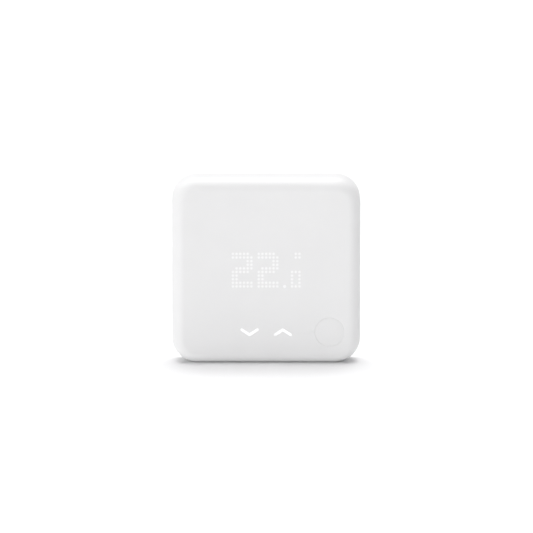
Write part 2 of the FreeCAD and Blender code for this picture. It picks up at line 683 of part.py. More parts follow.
def make_chevron_guide(mark, direction):
    """A clear light guide: a chevron that fills its slot in the shell, on a base behind it."""
    label = f"chevron_guide_{mark}"
    mark_x = d.mark_spread * direction
    base_rear = inner_front - d.guide_base_depth
    body, _ = make_block(
        label, mark_x, -d.control_drop, d.guide_base_width, d.guide_base_height,
        base_rear, inner_front, d.guide_radius,
    )
    root = inner_front - REACH_PAST
    sketch = draw_mark(body, f"{label}_mark", root, mark, mark_x)
    add_pad(body, sketch, d.unit_depth - root)


def make_touch_pad(mark, direction):
    """A copper frame on the board that feels a finger and lets the mark's light through."""
    mark_x = d.mark_spread * direction
    front = d.board_front + d.touch_pad_depth
    label = f"touch_pad_{mark}"
    body, _ = make_block(
        label, mark_x, -d.control_drop, d.guide_base_width, d.guide_base_height,
        d.board_front, front,
    )
    behind = d.board_front - REACH_PAST
    hole = new_sketch(body, f"{label}_window", behind, mark_x, -d.control_drop)
    draw_rectangle(hole, d.touch_window_width, d.touch_window_height)
    add_pocket(body, hole, d.touch_pad_depth + REACH_PAST * 2)


def make_button_cap():
    """A hollow round cap, with a flange behind the shell and a post on the key switch."""
    body = new_body("button_cap")
    place = (d.button_side, -d.control_drop)
    cap_radius = d.button_hole_radius - d.button_ring_gap
    switch_tip = d.board_front + d.switch_depth + d.plunger_proud
    flange_front = inner_front - d.button_flange_gap
    flange_rear = flange_front - d.button_flange_depth
    flange = new_sketch(body, "cap_flange", flange_rear, *place)
    draw_circle(flange, d.button_flange_radius)
    add_pad(body, flange, d.button_flange_depth)
    barrel = new_sketch(body, "cap_barrel", flange_rear, *place)
    draw_circle(barrel, cap_radius)
    top = add_pad(body, barrel, d.unit_depth - flange_rear)
    round_edges(body, top, FORWARD, d.unit_depth, d.button_edge)
    hollow = new_sketch(body, "cap_hollow", flange_rear - REACH_PAST, *place)
    draw_circle(hollow, cap_radius - d.button_skin)
    add_pocket(body, hollow, d.unit_depth - d.button_skin - flange_rear + REACH_PAST)
    post_rear = switch_tip + d.button_post_gap
    post = new_sketch(body, "cap_post", post_rear, *place)
    draw_circle(post, d.button_post_radius)
    add_pad(body, post, d.unit_depth - d.button_skin - post_rear + d.button_post_root)


def make_key_switch():
    """The key switch on the board: a square case with a round plunger in it."""
    place = (d.button_side, -d.control_drop)
    case_front = d.board_front + d.switch_depth
    body, _ = make_block(
        "key_switch_case", *place, d.switch_width, d.switch_width, d.board_front, case_front,
        d.switch_radius,
    )
    floor = d.board_front + d.switch_floor
    well = new_sketch(body, "switch_well", floor, *place)
    draw_circle(well, d.plunger_radius + d.running_gap)
    add_pocket(body, well, d.switch_depth)
    plunger = new_body("key_switch_plunger")
    foot = floor + d.button_travel + d.switch_spare
    disc = new_sketch(plunger, "plunger_disc", foot, *place)
    draw_circle(disc, d.plunger_radius)
    add_pad(plunger, disc, case_front + d.plunger_proud - foot)


def make_display():
    """Light chips on the board, the baffle with one well for each, and the film over the wells."""
    body, chip = make_block(
        "led_matrix", first_column, first_row, d.led_length, d.led_breadth, d.board_front,
        d.board_front + d.led_height, compound=True,
    )
    repeat_feature(body, chip, d.led_columns, d.led_pitch, d.led_rows, d.led_pitch)

    body, _ = make_block(
        "light_baffle", ZERO, d.display_rise, display_width, display_height, d.board_front, film_rear,
    )
    well = new_sketch(body, "baffle_well", d.board_front - REACH_PAST, first_column, first_row)
    draw_circle(well, d.well_radius)
    hole = add_pocket(body, well, film_rear - d.board_front + REACH_PAST * 2)
    repeat_feature(body, hole, d.led_columns, d.led_pitch, d.led_rows, d.led_pitch)

    make_block(
        "diffuser_film", ZERO, d.display_rise, display_width, display_height, film_rear, window_front,
    )
    body, chip = make_block(
        "touch_leds", -d.mark_spread, -d.control_drop, d.touch_led_length, d.touch_led_breadth,
        d.board_front, d.board_front + d.touch_led_height, compound=True,
    )
    repeat_feature(body, chip, 2, d.mark_spread * 2, 1, ZERO)


# ------------------------------------------------------------------ main board and what it carries


def make_main_board():
    body, _ = make_block(
        "main_board", ZERO, ZERO, d.board_width, d.board_height, d.board_rear, d.board_front,
        d.board_radius,
    )
    behind = d.board_rear - REACH_PAST
    holes = new_sketch(body, "board_holes", behind)
    for side in (-1, 1):
        for rise in (d.board_screw_top, -d.board_screw_drop):
            draw_circle(holes, d.screw_clear_radius, d.board_screw_side * side, rise)
    add_pocket(body, holes, d.board_front - d.board_rear + REACH_PAST * 2)
    for name, x, z in (("board_tail_high", -tail_x, top_cell), ("board_tail_low", tail_x, low_cell)):
        tail = new_sketch(body, name, behind, x, z)
        draw_rectangle(tail, tail_slot_width, d.tail_slot_height)
        add_pocket(body, tail, d.board_front - d.board_rear + REACH_PAST * 2)
    pins = new_sketch(body, "board_pin_holes", behind)
    for pole in range(POLES):
        draw_circle(pins, d.pin_hole_radius, pole_x(pole), pin_z)
    add_pocket(body, pins, d.board_front - d.board_rear + REACH_PAST * 2)


# chips on the board's rear: name, x, z, width, height, depth, corner chamfer
CHIPS = [
    ("microcontroller", -4.0, -33.2, 7.0, 7.0, 0.9, 0.15),
    ("radio_board", 30.0, -27.0, 20.0, 15.0, 0.8, None),
    ("quartz_crystal", -14.0, -33.0, 3.2, 2.5, 0.8, 0.15),
    ("air_sensor", -41.0, -34.0, 3.0, 3.0, 0.9, 0.15),
    ("power_relay", -29.0, -12.0, 20.0, 10.4, 7.6, 0.4),
]

# rows of equal chips: name, first x, z, width, height, depth, count and pitch along X and Z
CHIP_ROWS = [
    ("led_driver_chips", 6.0, -33.4, 5.0, 6.0, 1.1, 2, 8.0, 1, 0.0),
    ("ceramic_capacitors", -26.0, -35.0, 1.6, 0.8, 0.8, 4, 3.0, 3, 2.6),
    ("chip_resistors", -40.0, -27.0, 1.0, 0.5, 0.35, 8, 2.2, 3, 2.0),
]


def make_chips():
    for label, x, z, width, height, depth, edge in CHIPS:
        rear = d.board_rear - depth
        chamfer = None if edge is None else as_size(edge)
        place = (as_size(x), as_size(z), as_size(width), as_size(height))
        make_block(label, *place, rear, d.board_rear, edge=chamfer)
    for label, x, z, width, height, depth, columns, pitch, rows, rise in CHIP_ROWS:
        rear = d.board_rear - depth
        place = (as_size(x), as_size(z), as_size(width), as_size(height))
        body, chip = make_block(label, *place, rear, d.board_rear, compound=True)
        repeat_feature(body, chip, columns, pitch, rows, rise)


def make_radio_shield():
    """A tin can over the radio's chips."""
    front = d.board_rear - d.radio_board_depth
    rear = front - d.shield_depth
    place = (d.shield_side, -d.shield_drop)
    body, _ = make_block(
        "radio_shield", *place, d.shield_width, d.shield_height, rear, front,
        d.shield_radius, d.shield_edge,
    )
    inside = new_sketch(body, "shield_inside", rear + d.shield_sheet, *place)
    walls = d.shield_sheet * 2
    draw_rectangle(inside, d.shield_width - walls, d.shield_height - walls)
    add_pocket(body, inside, d.shield_depth)


def make_smoothing_capacitors():
    """Two round cans that stand on the board, with their crimped necks."""
    body = new_body("smoothing_capacitors", True)
    profile = new_sketch(body, "capacitor_profile", plane="XY_Plane")
    foot = -d.board_rear
    top = foot + d.can_height
    bevel = d.can_bevel
    neck_low = foot + d.can_neck_low
    neck_high = foot + d.can_neck_high
    points = [
        (ZERO, foot), (d.can_radius, foot), (d.can_radius, neck_low),
        (d.can_neck_radius, neck_low + bevel), (d.can_neck_radius, neck_high - bevel),
        (d.can_radius, neck_high), (d.can_radius, top - bevel), (d.can_radius - bevel, top),
        (ZERO, top),
    ]
    draw_profile(profile, points)
    solid = turn_profile(body, profile, DEPTH_AXIS)
    repeat_feature(body, solid, 2, d.can_pitch, 1, ZERO)
    bind(body, "Placement.Base.x", d.can_side)
    bind(body, "Placement.Base.z", -d.can_drop)


# ------------------------------------------------------------------ terminal block


def make_terminal_block():
    body, _ = make_block(
        "terminal_block", ZERO, block_z, block_width, d.block_height, d.block_rear, d.board_rear,
        edge=d.block_edge,
    )
    behind = d.block_rear - REACH_PAST
    wells = new_sketch(body, "block_head_wells", behind)
    holes = new_sketch(body, "block_shank_holes", behind)
    for pole in range(POLES):
        draw_circle(wells, head_well_radius, pole_x(pole), -d.pole_drop)
        draw_circle(holes, shank_hole_radius, pole_x(pole), -d.pole_drop)
    add_pocket(body, wells, d.clamp_seat - behind)
    add_pocket(body, holes, d.cavity_rear - behind + REACH_PAST)
    for pole in range(POLES):
        chamber = new_sketch(body, f"block_chamber_{pole}", d.cavity_rear, pole_x(pole), -d.pole_drop)
        draw_rectangle(chamber, d.cavity_width, d.cavity_height)
        add_pocket(body, chamber, d.cavity_front - d.cavity_rear)
        mouth_z = REACH_PAST - d.pole_drop - d.cavity_height / 2 - d.mouth_reach / 2
        mouth = new_sketch(
            body, f"block_wire_mouth_{pole}", contact_bar_front, pole_x(pole), mouth_z,
        )
        draw_rectangle(mouth, d.mouth_width, d.mouth_reach)
        add_pocket(body, mouth, d.cage_front - d.cage_sheet - contact_bar_front)
        bar_slot = new_sketch(
            body, f"block_bar_slot_{pole}", d.contact_bar_rear, pole_x(pole), bar_z,
        )
        draw_rectangle(bar_slot, d.contact_bar_width, bar_reach)
        add_pocket(body, bar_slot, d.contact_bar_depth)
        leg_slot = new_sketch(body, f"block_leg_slot_{pole}", d.contact_bar_rear, pole_x(pole), pin_z)
        draw_rectangle(leg_slot, d.leg_width, d.leg_height)
        add_pocket(body, leg_slot, d.board_rear - d.contact_bar_rear + REACH_PAST)


def make_terminal_contacts():
    """One tinned bar for each pole, with a leg that is soldered into the board."""
    body, bar = make_block(
        "terminal_contacts", pole_x(0), bar_z, d.contact_bar_width, bar_reach, d.contact_bar_rear,
        contact_bar_front, compound=True,
    )
    leg = new_sketch(body, "contact_leg", d.contact_bar_rear, pole_x(0), pin_z)
    draw_rectangle(leg, d.leg_width, d.leg_height)
    leg_pad = add_pad(body, leg, d.board_front - d.contact_bar_rear + d.leg_proud)
    grid = body.newObject("PartDesign::LinearPattern", "contact_grid")
    grid.Originals = [bar, leg_pad]
    grid.Direction = (origin_part(body, "X_Axis"), [""])
    bind(grid, "Occurrences", d.pole_count)
    bind(grid, "Length", d.pole_pitch * (d.pole_count - 1))
    body.Tip = grid


def make_terminal_screw(pole):
    """A slotted screw: its head turns on the block's shoulder and its shank drives the cage."""
    label = f"terminal_screw_{pole + 1}"
    body = new_body(label)
    profile = new_sketch(body, f"{label}_profile", plane="XY_Plane")
    rear = -d.clamp_head_rear
    seat = -d.clamp_head_front
    tip = -(d.contact_bar_rear - d.clamp_tip_gap)
    bevel = d.clamp_bevel
    shank = d.clamp_screw_radius
    points = [
        (ZERO, rear), (d.clamp_head_radius - bevel, rear), (d.clamp_head_radius, rear - bevel),
        (d.clamp_head_radius, seat), (shank, seat), (shank, tip + bevel), (shank - bevel, tip),
        (ZERO, tip),
    ]
    draw_profile(profile, points)
    turn_profile(body, profile, DEPTH_AXIS)
    slot = new_sketch(body, f"{label}_slot", d.clamp_head_rear - REACH_PAST)
    draw_rectangle(slot, d.clamp_slot_length, d.clamp_slot_width)
    add_pocket(body, slot, REACH_PAST + d.clamp_slot_depth)
    bind(body, "Placement.Base.x", pole_x(pole))
    bind(body, "Placement.Base.z", -d.pole_drop)


def make_terminal_cage(pole):
    """A steel cage round the contact bar: the screw draws it to the rear and it grips the wire."""
    label = f"terminal_cage_{pole + 1}"
    x = pole_x(pole)
    body, _ = make_block(
        label, x, -d.pole_drop, d.cage_width, d.cage_height, d.cage_rear, d.cage_front,
    )
    window = new_sketch(body, f"{label}_window", d.cage_rear + d.cage_web, x, -d.pole_drop)
    draw_rectangle(window, d.cage_width - d.cage_sheet * 2, d.cage_height + REACH_PAST * 2)
    add_pocket(body, window, d.cage_front - d.cage_rear - d.cage_web - d.cage_sheet)
    thread = new_sketch(body, f"{label}_thread", d.cage_rear - REACH_PAST, x, -d.pole_drop)
    draw_circle(thread, d.clamp_screw_radius + d.running_gap)
    add_pocket(body, thread, d.cage_web + REACH_PAST * 2)


# ------------------------------------------------------------------ chassis, batteries and contacts


def make_rear_chassis():
    """The unit's back: a plate with the battery bay, the wiring chamber and the snap sockets."""
    body, _ = make_block(
        "rear_chassis", ZERO, ZERO, inside_width, inside_width, d.chassis_rear, chassis_front,
        inside_radius,
    )
    tub = new_sketch(body, "tub_outside", d.tub_rim, ZERO, d.tub_rise)
    wall2 = d.tub_wall * 2
    draw_rounded_rectangle(tub, d.tub_length + wall2, d.tub_height + wall2, d.tub_radius)
    add_pad(body, tub, d.tub_floor_front - d.tub_rim)
    bay = new_sketch(body, "tub_inside", d.tub_rim - REACH_PAST, ZERO, d.tub_rise)
    draw_rectangle(bay, d.tub_length, d.tub_height)
    add_pocket(body, bay, d.tub_floor_rear - d.tub_rim + REACH_PAST)
    chute_front = d.board_rear - d.chute_gap
    chute = new_sketch(body, "chute_outside", d.chassis_rear, ZERO, -d.chute_drop)
    draw_rounded_rectangle(chute, d.chute_width + wall2, d.chute_height + wall2, d.chute_radius)
    add_pad(body, chute, chute_front - d.chassis_rear)
    hollow = new_sketch(body, "chute_inside", d.chassis_rear - REACH_PAST, ZERO, -d.chute_drop)
    draw_rectangle(hollow, d.chute_width, d.chute_height)
    add_pocket(body, hollow, chute_front - d.chassis_rear + REACH_PAST * 2)

    behind = d.chassis_rear - REACH_PAST
    through = d.chassis_plate + REACH_PAST * 2
    screws = new_sketch(body, "chassis_screw_holes", behind)
    for side in (-1, 1):
        for rise in (-1, 1):
            place = (d.chassis_screw_offset * side, d.chassis_screw_offset * rise)
            draw_circle(screws, d.screw_clear_radius, *place)
    add_pocket(body, screws, through)
    socket_width = d.prong_width + d.prong_clearance * 2
    socket_height = d.prong_sheet + d.prong_nose + d.prong_clearance * 2
    for side in (-1, 1):
        for rise in (-1, 1):
            name = f"snap_socket_{'lr'[side > 0]}{'bt'[rise > 0]}"
            middle = d.prong_rise - d.prong_nose / 2
            socket = new_sketch(body, name, behind, d.prong_side * side, middle * rise)
            draw_rectangle(socket, socket_width, socket_height)
            add_pocket(body, socket, through)
    for name, x, z in (("tail_slot_high", -tail_x, top_cell), ("tail_slot_low", tail_x, low_cell)):
        slot = new_sketch(body, name, d.tub_floor_rear - REACH_PAST, x, z)
        draw_rectangle(slot, tail_slot_width, d.tail_slot_height)
        add_pocket(body, slot, REACH_PAST * 2 + d.tub_floor_front - d.tub_floor_rear)
    # saddles on the bay's floor hold the cells apart
    for name, side in (("saddle_left", -1), ("saddle_right", 1)):
        saddle_rear = d.tub_floor_rear - d.saddle_height
        saddle = new_sketch(body, name, saddle_rear, d.saddle_side * side, d.tub_rise)
        for rise in (-1, 1):
            draw_rib(saddle, d.saddle_width, d.saddle_sheet, d.cell_pitch / 2 * rise)
        add_pad(body, saddle, d.saddle_height + d.saddle_root)


def draw_rib(sketch, width, height, z):
    """A rectangle whose centre lies z above the sketch's origin."""
    half_w = width.value / 2
    half_h = height.value / 2
    first = sketch.GeometryCount
    low = z.value - half_h
    high = z.value + half_h
    corners = [
        Vector(-half_w, low, 0), Vector(half_w, low, 0), Vector(half_w, high, 0),
        Vector(-half_w, high, 0),
    ]
    for start, end in zip(corners, corners[1:] + corners[:1]):
        sketch.addGeometry(Part.LineSegment(start, end), False)
    for side in range(4):
        joined = first + (side + 1) % 4
        sketch.addConstraint(Sketcher.Constraint("Coincident", first + side, 2, joined, 1))
    for side, direction in enumerate(["Horizontal", "Vertical", "Horizontal", "Vertical"]):
        sketch.addConstraint(Sketcher.Constraint(direction, first + side))
    left = Sketcher.Constraint("DistanceX", -1, 1, first, 1, -half_w)
    bottom = Sketcher.Constraint("DistanceY", -1, 1, first, 1, low)
    right = Sketcher.Constraint("DistanceX", -1, 1, first + 2, 1, half_w)
    top = Sketcher.Constraint("DistanceY", -1, 1, first + 2, 1, high)
    name_size(sketch, left, f"left_{first}", -width / 2)
    name_size(sketch, bottom, f"bottom_{first}", z - height / 2)
    name_size(sketch, right, f"right_{first}", width / 2)
    name_size(sketch, top, f"top_{first}", z + height / 2)


def make_battery(label, rise, flipped):
    """One AAA cell; its button points to -X, or to +X when it is flipped."""
    body = new_body(label)
    profile = new_sketch(body, f"{label}_profile", plane="XY_Plane")
    button_tip = -(d.tub_length / 2 - d.contact_sheet - d.dimple_depth)
    shoulder = button_tip + d.cell_button_length
    end = button_tip + d.cell_length
    bevel = d.cell_bevel
    points = [
        (button_tip, ZERO), (button_tip, d.cell_button_radius), (shoulder, d.cell_button_radius),
        (shoulder, d.cell_radius - bevel), (shoulder + bevel, d.cell_radius),
        (end - bevel, d.cell_radius), (end, d.cell_radius - bevel), (end, ZERO),
    ]
    draw_profile(profile, points)
    turn_profile(body, profile, LENGTH_AXIS)
    body.Placement = Placement(Vector(0, 0, 0), Rotation(Vector(0, 0, 1), 180 if flipped else 0))
    bind(body, "Placement.Base.y", -d.cell_forward)
    bind(body, "Placement.Base.z", rise)


def make_contact_plate(label, side, cells, dimple_cell, tail_cell=None):
    """A sprung steel plate on the bay's end wall; side is -1 or 1, cells are the cells it spans."""
    body = new_body(label)
    outer = d.tub_length / 2
    x = (outer - d.contact_sheet / 2) * side
    middle = sum(cells[1:], cells[0]) / len(cells)
    height = d.contact_width if len(cells) == 1 else d.contact_width + d.cell_pitch
    rear = d.cell_forward - d.contact_width / 2
    face = new_sketch(body, f"{label}_face", rear, x, middle)
    draw_rectangle(face, d.contact_sheet, height)
    add_pad(body, face, d.contact_width)
    if dimple_cell is not None:
        dimple_x = (outer - d.contact_sheet - d.dimple_depth / 2) * side
        dimple_rear = d.cell_forward - d.dimple_width / 2
        dimple = new_sketch(body, f"{label}_dimple", dimple_rear, dimple_x, dimple_cell)
        draw_rectangle(dimple, d.dimple_depth, d.dimple_width)
        add_pad(body, dimple, d.dimple_width)
    if tail_cell is not None:
        tail = new_sketch(body, f"{label}_tail", d.cell_forward, x, tail_cell)
        draw_rectangle(tail, d.contact_sheet, d.contact_tail)
        add_pad(body, tail, d.board_front + d.tail_proud - d.cell_forward)


def draw_half_ring(sketch, outer_radius, sheet_thickness):
    """Half of a flat ring round the sketch's origin, bulging towards its x."""
    outer = outer_radius.value
    inner = outer - sheet_thickness.value
    quarter = math.pi / 2
    axis = Vector(0, 0, 1)
    outer_circle = Part.Circle(Vector(0, 0, 0), axis, outer)
    inner_circle = Part.Circle(Vector(0, 0, 0), axis, inner)
    sketch.addGeometry(Part.ArcOfCircle(outer_circle, -quarter, quarter), False)
    sketch.addGeometry(Part.LineSegment(Vector(0, outer, 0), Vector(0, inner, 0)), False)
    sketch.addGeometry(Part.ArcOfCircle(inner_circle, -quarter, quarter), False)
    sketch.addGeometry(Part.LineSegment(Vector(0, -inner, 0), Vector(0, -outer, 0)), False)
    for joint in [(0, 2, 1, 1), (1, 2, 2, 2), (2, 1, 3, 1), (3, 2, 0, 1)]:
        sketch.addConstraint(Sketcher.Constraint("Coincident", *joint))
    sketch.addConstraint(Sketcher.Constraint("Coincident", 0, 3, -1, 1))
    sketch.addConstraint(Sketcher.Constraint("Coincident", 2, 3, -1, 1))
    for end in [(0, 1), (0, 2), (2, 1), (2, 2)]:
        sketch.addConstraint(Sketcher.Constraint("PointOnObject", *end, -2))
    name_size(sketch, Sketcher.Constraint("Radius", 0, outer), "outer_radius", outer_radius)
    inner_radius = outer_radius - sheet_thickness
    name_size(sketch, Sketcher.Constraint("Radius", 2, inner), "inner_radius", inner_radius)


def make_battery_spring(label, rise, side):
    """A bowed strip between the contact plate and the flat end of a cell."""
    body = new_body(label)
    plate_face = d.tub_length / 2 - d.contact_sheet
    bow = new_sketch(body, f"{label}_bow", -(d.spring_width / 2), -plate_face, plane="XY_Plane")
    draw_half_ring(bow, d.spring_radius, d.spring_sheet)
    add_pad(body, bow, d.spring_width)
    body.Placement = Placement(Vector(0, 0, 0), Rotation(Vector(0, 0, 1), 180 if side > 0 else 0))
    bind(body, "Placement.Base.y", -d.cell_forward)
    bind(body, "Placement.Base.z", rise)


def make_power():
    """Three cells in series, their contacts and springs."""
    make_battery("battery_top", top_cell, False)
    make_battery("battery_middle", d.tub_rise, True)
    make_battery("battery_bottom", low_cell, False)
    make_contact_plate("battery_contact_positive", -1, [top_cell], top_cell, top_cell)
    make_contact_plate("battery_link_right", 1, [top_cell, d.tub_rise], d.tub_rise)
    make_contact_plate("battery_link_left", -1, [d.tub_rise, low_cell], low_cell)
    make_contact_plate("battery_contact_negative", 1, [low_cell], None, low_cell)
    make_battery_spring("battery_spring_top", top_cell, 1)
    make_battery_spring("battery_spring_middle", d.tub_rise, -1)
    make_battery_spring("battery_spring_bottom", low_cell, 1)


def make_screws(label, x_half, z_low, z_high, seat, head_radius, head_depth, length):
    """Four equal pan-head screws, driven from behind into the shell's bosses."""
    body = new_body(label, True)
    profile = new_sketch(body, f"{label}_profile", plane="XY_Plane")
    rear = -seat + head_depth
    tip = -(seat + length)
    shank = d.pilot_radius - d.screw_fit
    bevel = d.screw_bevel
    points = [
        (ZERO, rear), (head_radius - bevel, rear), (head_radius, rear - bevel), (head_radius, -seat),
        (shank, -seat), (shank, tip + bevel), (shank - bevel, tip), (ZERO, tip),
    ]
    draw_profile(profile, points)
    turned = turn_profile(body, profile, DEPTH_AXIS)
    arm = head_radius * CROSS_SPAN
    cross_rear = seat - head_depth - REACH_PAST
    cross_depth = REACH_PAST + head_depth * CROSS_DEPTH
    wide_cut = new_sketch(body, f"{label}_cross_wide", cross_rear)
    draw_rectangle(wide_cut, arm, d.screw_cross)
    wide = add_pocket(body, wide_cut, cross_depth)
    tall_cut = new_sketch(body, f"{label}_cross_tall", cross_rear)
    draw_rectangle(tall_cut, d.screw_cross, arm)
    tall = add_pocket(body, tall_cut, cross_depth)
    grid = body.newObject("PartDesign::LinearPattern", f"{label}_grid")
    grid.Originals = [turned, wide, tall]
    grid.Direction = (origin_part(body, "X_Axis"), [""])
    grid.Direction2 = (origin_part(body, "Z_Axis"), [""])
    grid.Occurrences = 2
    grid.Occurrences2 = 2
    bind(grid, "Length", x_half * 2)
    bind(grid, "Length2", z_high - z_low)
    body.Tip = grid
    bind(body, "Placement.Base.x", -x_half)
    bind(body, "Placement.Base.z", z_low)


# ------------------------------------------------------------------ wall plate


def make_wall_plate():
    """The plate on the wall: cable opening, screw slots, stiffening ribs and four snap prongs."""
    body, _ = make_block(
        "wall_plate", ZERO, ZERO, inside_width, inside_width, ZERO, d.plate_depth, inside_radius,
    )
    rim = new_sketch(body, "plate_rim", d.plate_depth)
    draw_rounded_rectangle(rim, inside_width, inside_width, inside_radius)
    rim_inside = inside_width - d.rib_width * 2
    draw_rounded_rectangle(rim, rim_inside, rim_inside, inside_radius - d.rib_width)
    add_pad(body, rim, d.rim_depth)
    collar = new_sketch(body, "plate_collar", d.plate_depth, ZERO, -d.inlet_drop)
    collar_extra = d.rib_width * 2
    corner = d.inlet_radius
    draw_rounded_rectangle(
        collar, d.inlet_width + collar_extra, d.inlet_height + collar_extra, corner + d.rib_width,
    )
    draw_rounded_rectangle(collar, d.inlet_width, d.inlet_height, corner)
    add_pad(body, collar, d.rim_depth)
    through = d.plate_depth + REACH_PAST * 2
    inlet = new_sketch(body, "plate_inlet", -REACH_PAST, ZERO, -d.inlet_drop)
    draw_rounded_rectangle(inlet, d.inlet_width, d.inlet_height, corner)
    add_pocket(body, inlet, through)
    for name, side in (("plate_slot_left", -1), ("plate_slot_right", 1)):
        slot = new_sketch(body, name, -REACH_PAST, d.plate_screw_side * side)
        draw_slot(slot, d.plate_slot_length - d.plate_slot_radius * 2, d.plate_slot_radius)
        add_pocket(body, slot, through)
    corners = new_sketch(body, "plate_corner_holes", -REACH_PAST)
    for side in (-1, 1):
        for rise in (-1, 1):
            place = (d.corner_hole_offset * side, d.corner_hole_offset * rise)
            draw_circle(corners, d.corner_hole_radius, *place)
    add_pocket(body, corners, through)
    for name, side in (("pad_recess_left", -1), ("pad_recess_right", 1)):
        recess = new_sketch(body, name, -REACH_PAST, d.pad_side * side)
        draw_rectangle(recess, d.pad_width, d.pad_height)
        add_pocket(body, recess, d.pad_recess + REACH_PAST)
    for side in (-1, 1):
        for rise in (-1, 1):
            make_prong(body, side, rise)


def make_prong(body, side, rise):
    """A flat prong with a snap nose near its tip, on the side that faces the middle."""
    name = f"prong_{'lr'[side > 0]}{'bt'[rise > 0]}"
    root = d.plate_depth - d.prong_root
    blade = new_sketch(body, name, root, d.prong_side * side, d.prong_rise * rise)
    draw_rectangle(blade, d.prong_width, d.prong_sheet)
    add_pad(body, blade, d.prong_reach - root)
    nose_rear = chassis_front + d.nose_gap
    nose_z = (d.prong_rise - d.prong_sheet / 2) * rise
    nose = new_sketch(body, f"{name}_nose", nose_rear, d.prong_side * side, nose_z)
    draw_rectangle(nose, d.prong_width - d.nose_inset, d.prong_nose * 2)
    add_pad(body, nose, d.nose_depth)


def make_adhesive_pads():
    body, pad = make_block(
        "adhesive_pads", -d.pad_side, ZERO, d.pad_width, d.pad_height, ZERO, d.pad_recess,
        compound=True,
    )
    repeat_feature(body, pad, 2, d.pad_side * 2, 1, ZERO)


# ------------------------------------------------------------------ build, test and write


def build_all():
    make_front_housing()
    for mark, direction in (("down", -1), ("up", 1)):
        make_chevron_guide(mark, direction)
        make_touch_pad(mark, direction)
    make_button_cap()
    make_key_switch()
    make_display()
    make_main_board()
    make_chips()
    make_radio_shield()
    make_smoothing_capacitors()
    make_terminal_block()
    make_terminal_contacts()
    for pole in range(POLES):
        make_terminal_screw(pole)
        make_terminal_cage(pole)
    make_rear_chassis()
    make_power()
    offset = d.chassis_screw_offset
    make_screws(
        "chassis_screws", offset, -offset, offset, d.chassis_rear,
        d.chassis_screw_head_radius, d.chassis_screw_head, d.chassis_screw_length,
    )
    make_screws(
        "board_screws", d.board_screw_side, -d.board_screw_drop, d.board_screw_top, d.board_rear,
        d.board_screw_head_radius, d.board_screw_head, d.board_screw_length,
    )
    make_wall_plate()
    make_adhesive_pads()
    doc.recompute()


def check_all():
    for thing in doc.Objects:
        if "Invalid" in thing.State or "Error" in thing.State:
            raise ValueError(f"{thing.Name} failed: {thing.State}")
    for body in bodies():
        if body.Shape.isNull() or not body.Shape.isValid() or not body.Shape.Solids:
            raise ValueError(f"{body.Label} has no valid shape")


def bodies():
    return [thing for thing in doc.Objects if thing.TypeId == "PartDesign::Body"]


def write_parts():
    os.makedirs("parts", exist_ok=True)
    for body in bodies():
        body.Shape.exportStep(f"parts/{body.Label}.step")
        box = body.Shape.BoundBox
        print(f"{body.Label:26s} solids {len(body.Shape.Solids):3d} volume {body.Shape.Volume:9.2f}"
              f"  x {box.XMin:7.2f} {box.XMax:7.2f}  y {box.YMin:7.2f} {box.YMax:7.2f}"
              f"  z {box.ZMin:7.2f} {box.ZMax:7.2f}")


build_all()
check_all()
write_parts()
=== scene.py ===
import json
import math

import bpy
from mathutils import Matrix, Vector
from mathutils.geometry import delaunay_2d_cdt


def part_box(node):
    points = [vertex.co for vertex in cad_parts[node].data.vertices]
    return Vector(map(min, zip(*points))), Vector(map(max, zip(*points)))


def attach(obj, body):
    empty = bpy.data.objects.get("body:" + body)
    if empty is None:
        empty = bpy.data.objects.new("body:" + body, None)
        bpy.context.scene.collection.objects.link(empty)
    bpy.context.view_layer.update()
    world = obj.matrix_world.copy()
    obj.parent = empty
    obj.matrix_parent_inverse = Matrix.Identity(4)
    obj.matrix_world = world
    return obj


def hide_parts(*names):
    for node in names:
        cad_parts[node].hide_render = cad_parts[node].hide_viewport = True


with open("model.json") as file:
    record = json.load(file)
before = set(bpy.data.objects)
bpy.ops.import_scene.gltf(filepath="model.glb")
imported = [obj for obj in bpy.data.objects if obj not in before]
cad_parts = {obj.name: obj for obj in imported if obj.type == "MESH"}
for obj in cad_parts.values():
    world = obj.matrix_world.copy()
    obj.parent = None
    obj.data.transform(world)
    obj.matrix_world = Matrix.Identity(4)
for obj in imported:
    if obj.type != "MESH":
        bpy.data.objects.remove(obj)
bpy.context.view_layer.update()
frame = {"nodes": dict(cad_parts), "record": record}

# Wall thermostat.  Metres, in the frame's own axes: the wall is the plane y = 0, the front faces -Y,
# and "forward" is the distance from the wall.  Shapes are drawn in millimetres and scaled by MM.

MM = 0.001
SLOTS = {entry["node"]: entry["material_slot"] for entry in frame["record"]["subparts"]}


def millimetres(node):
    """A CAD node's lowest and highest corner, in millimetres."""
    low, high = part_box(node)
    return low / MM, high / MM


# ------------------------------------------------------------------ sizes, from the frame or in millimetres

shell_low, shell_high = millimetres("front_housing")
HALF_WIDTH = (shell_high.x - shell_low.x) / 2
DEPTH = -shell_low.y
SHELL_REAR = -shell_high.y
WALL = 1.7
CORNER = 14.0
FILLET = 6.8
INNER_FRONT = DEPTH - WALL
WINDOW_SKIN = 0.8
WINDOW_CLEARANCE = 0.05
RIM_EDGE = 0.3
BOSS_RADIUS = 2.5
PILOT_RADIUS = 0.8
PILOT_DEPTH = 6.5
BOSS_ROOT = 0.3
# screw bosses: x, z and the distance of their rear end from the wall
BOSSES = [(x, z, 6.0) for x in (-44.0, 44.0) for z in (-44.0, 44.0)]
BOSSES += [(x, z, 15.4) for x in (-42.0, 42.0) for z in (-18.0, 33.0)]

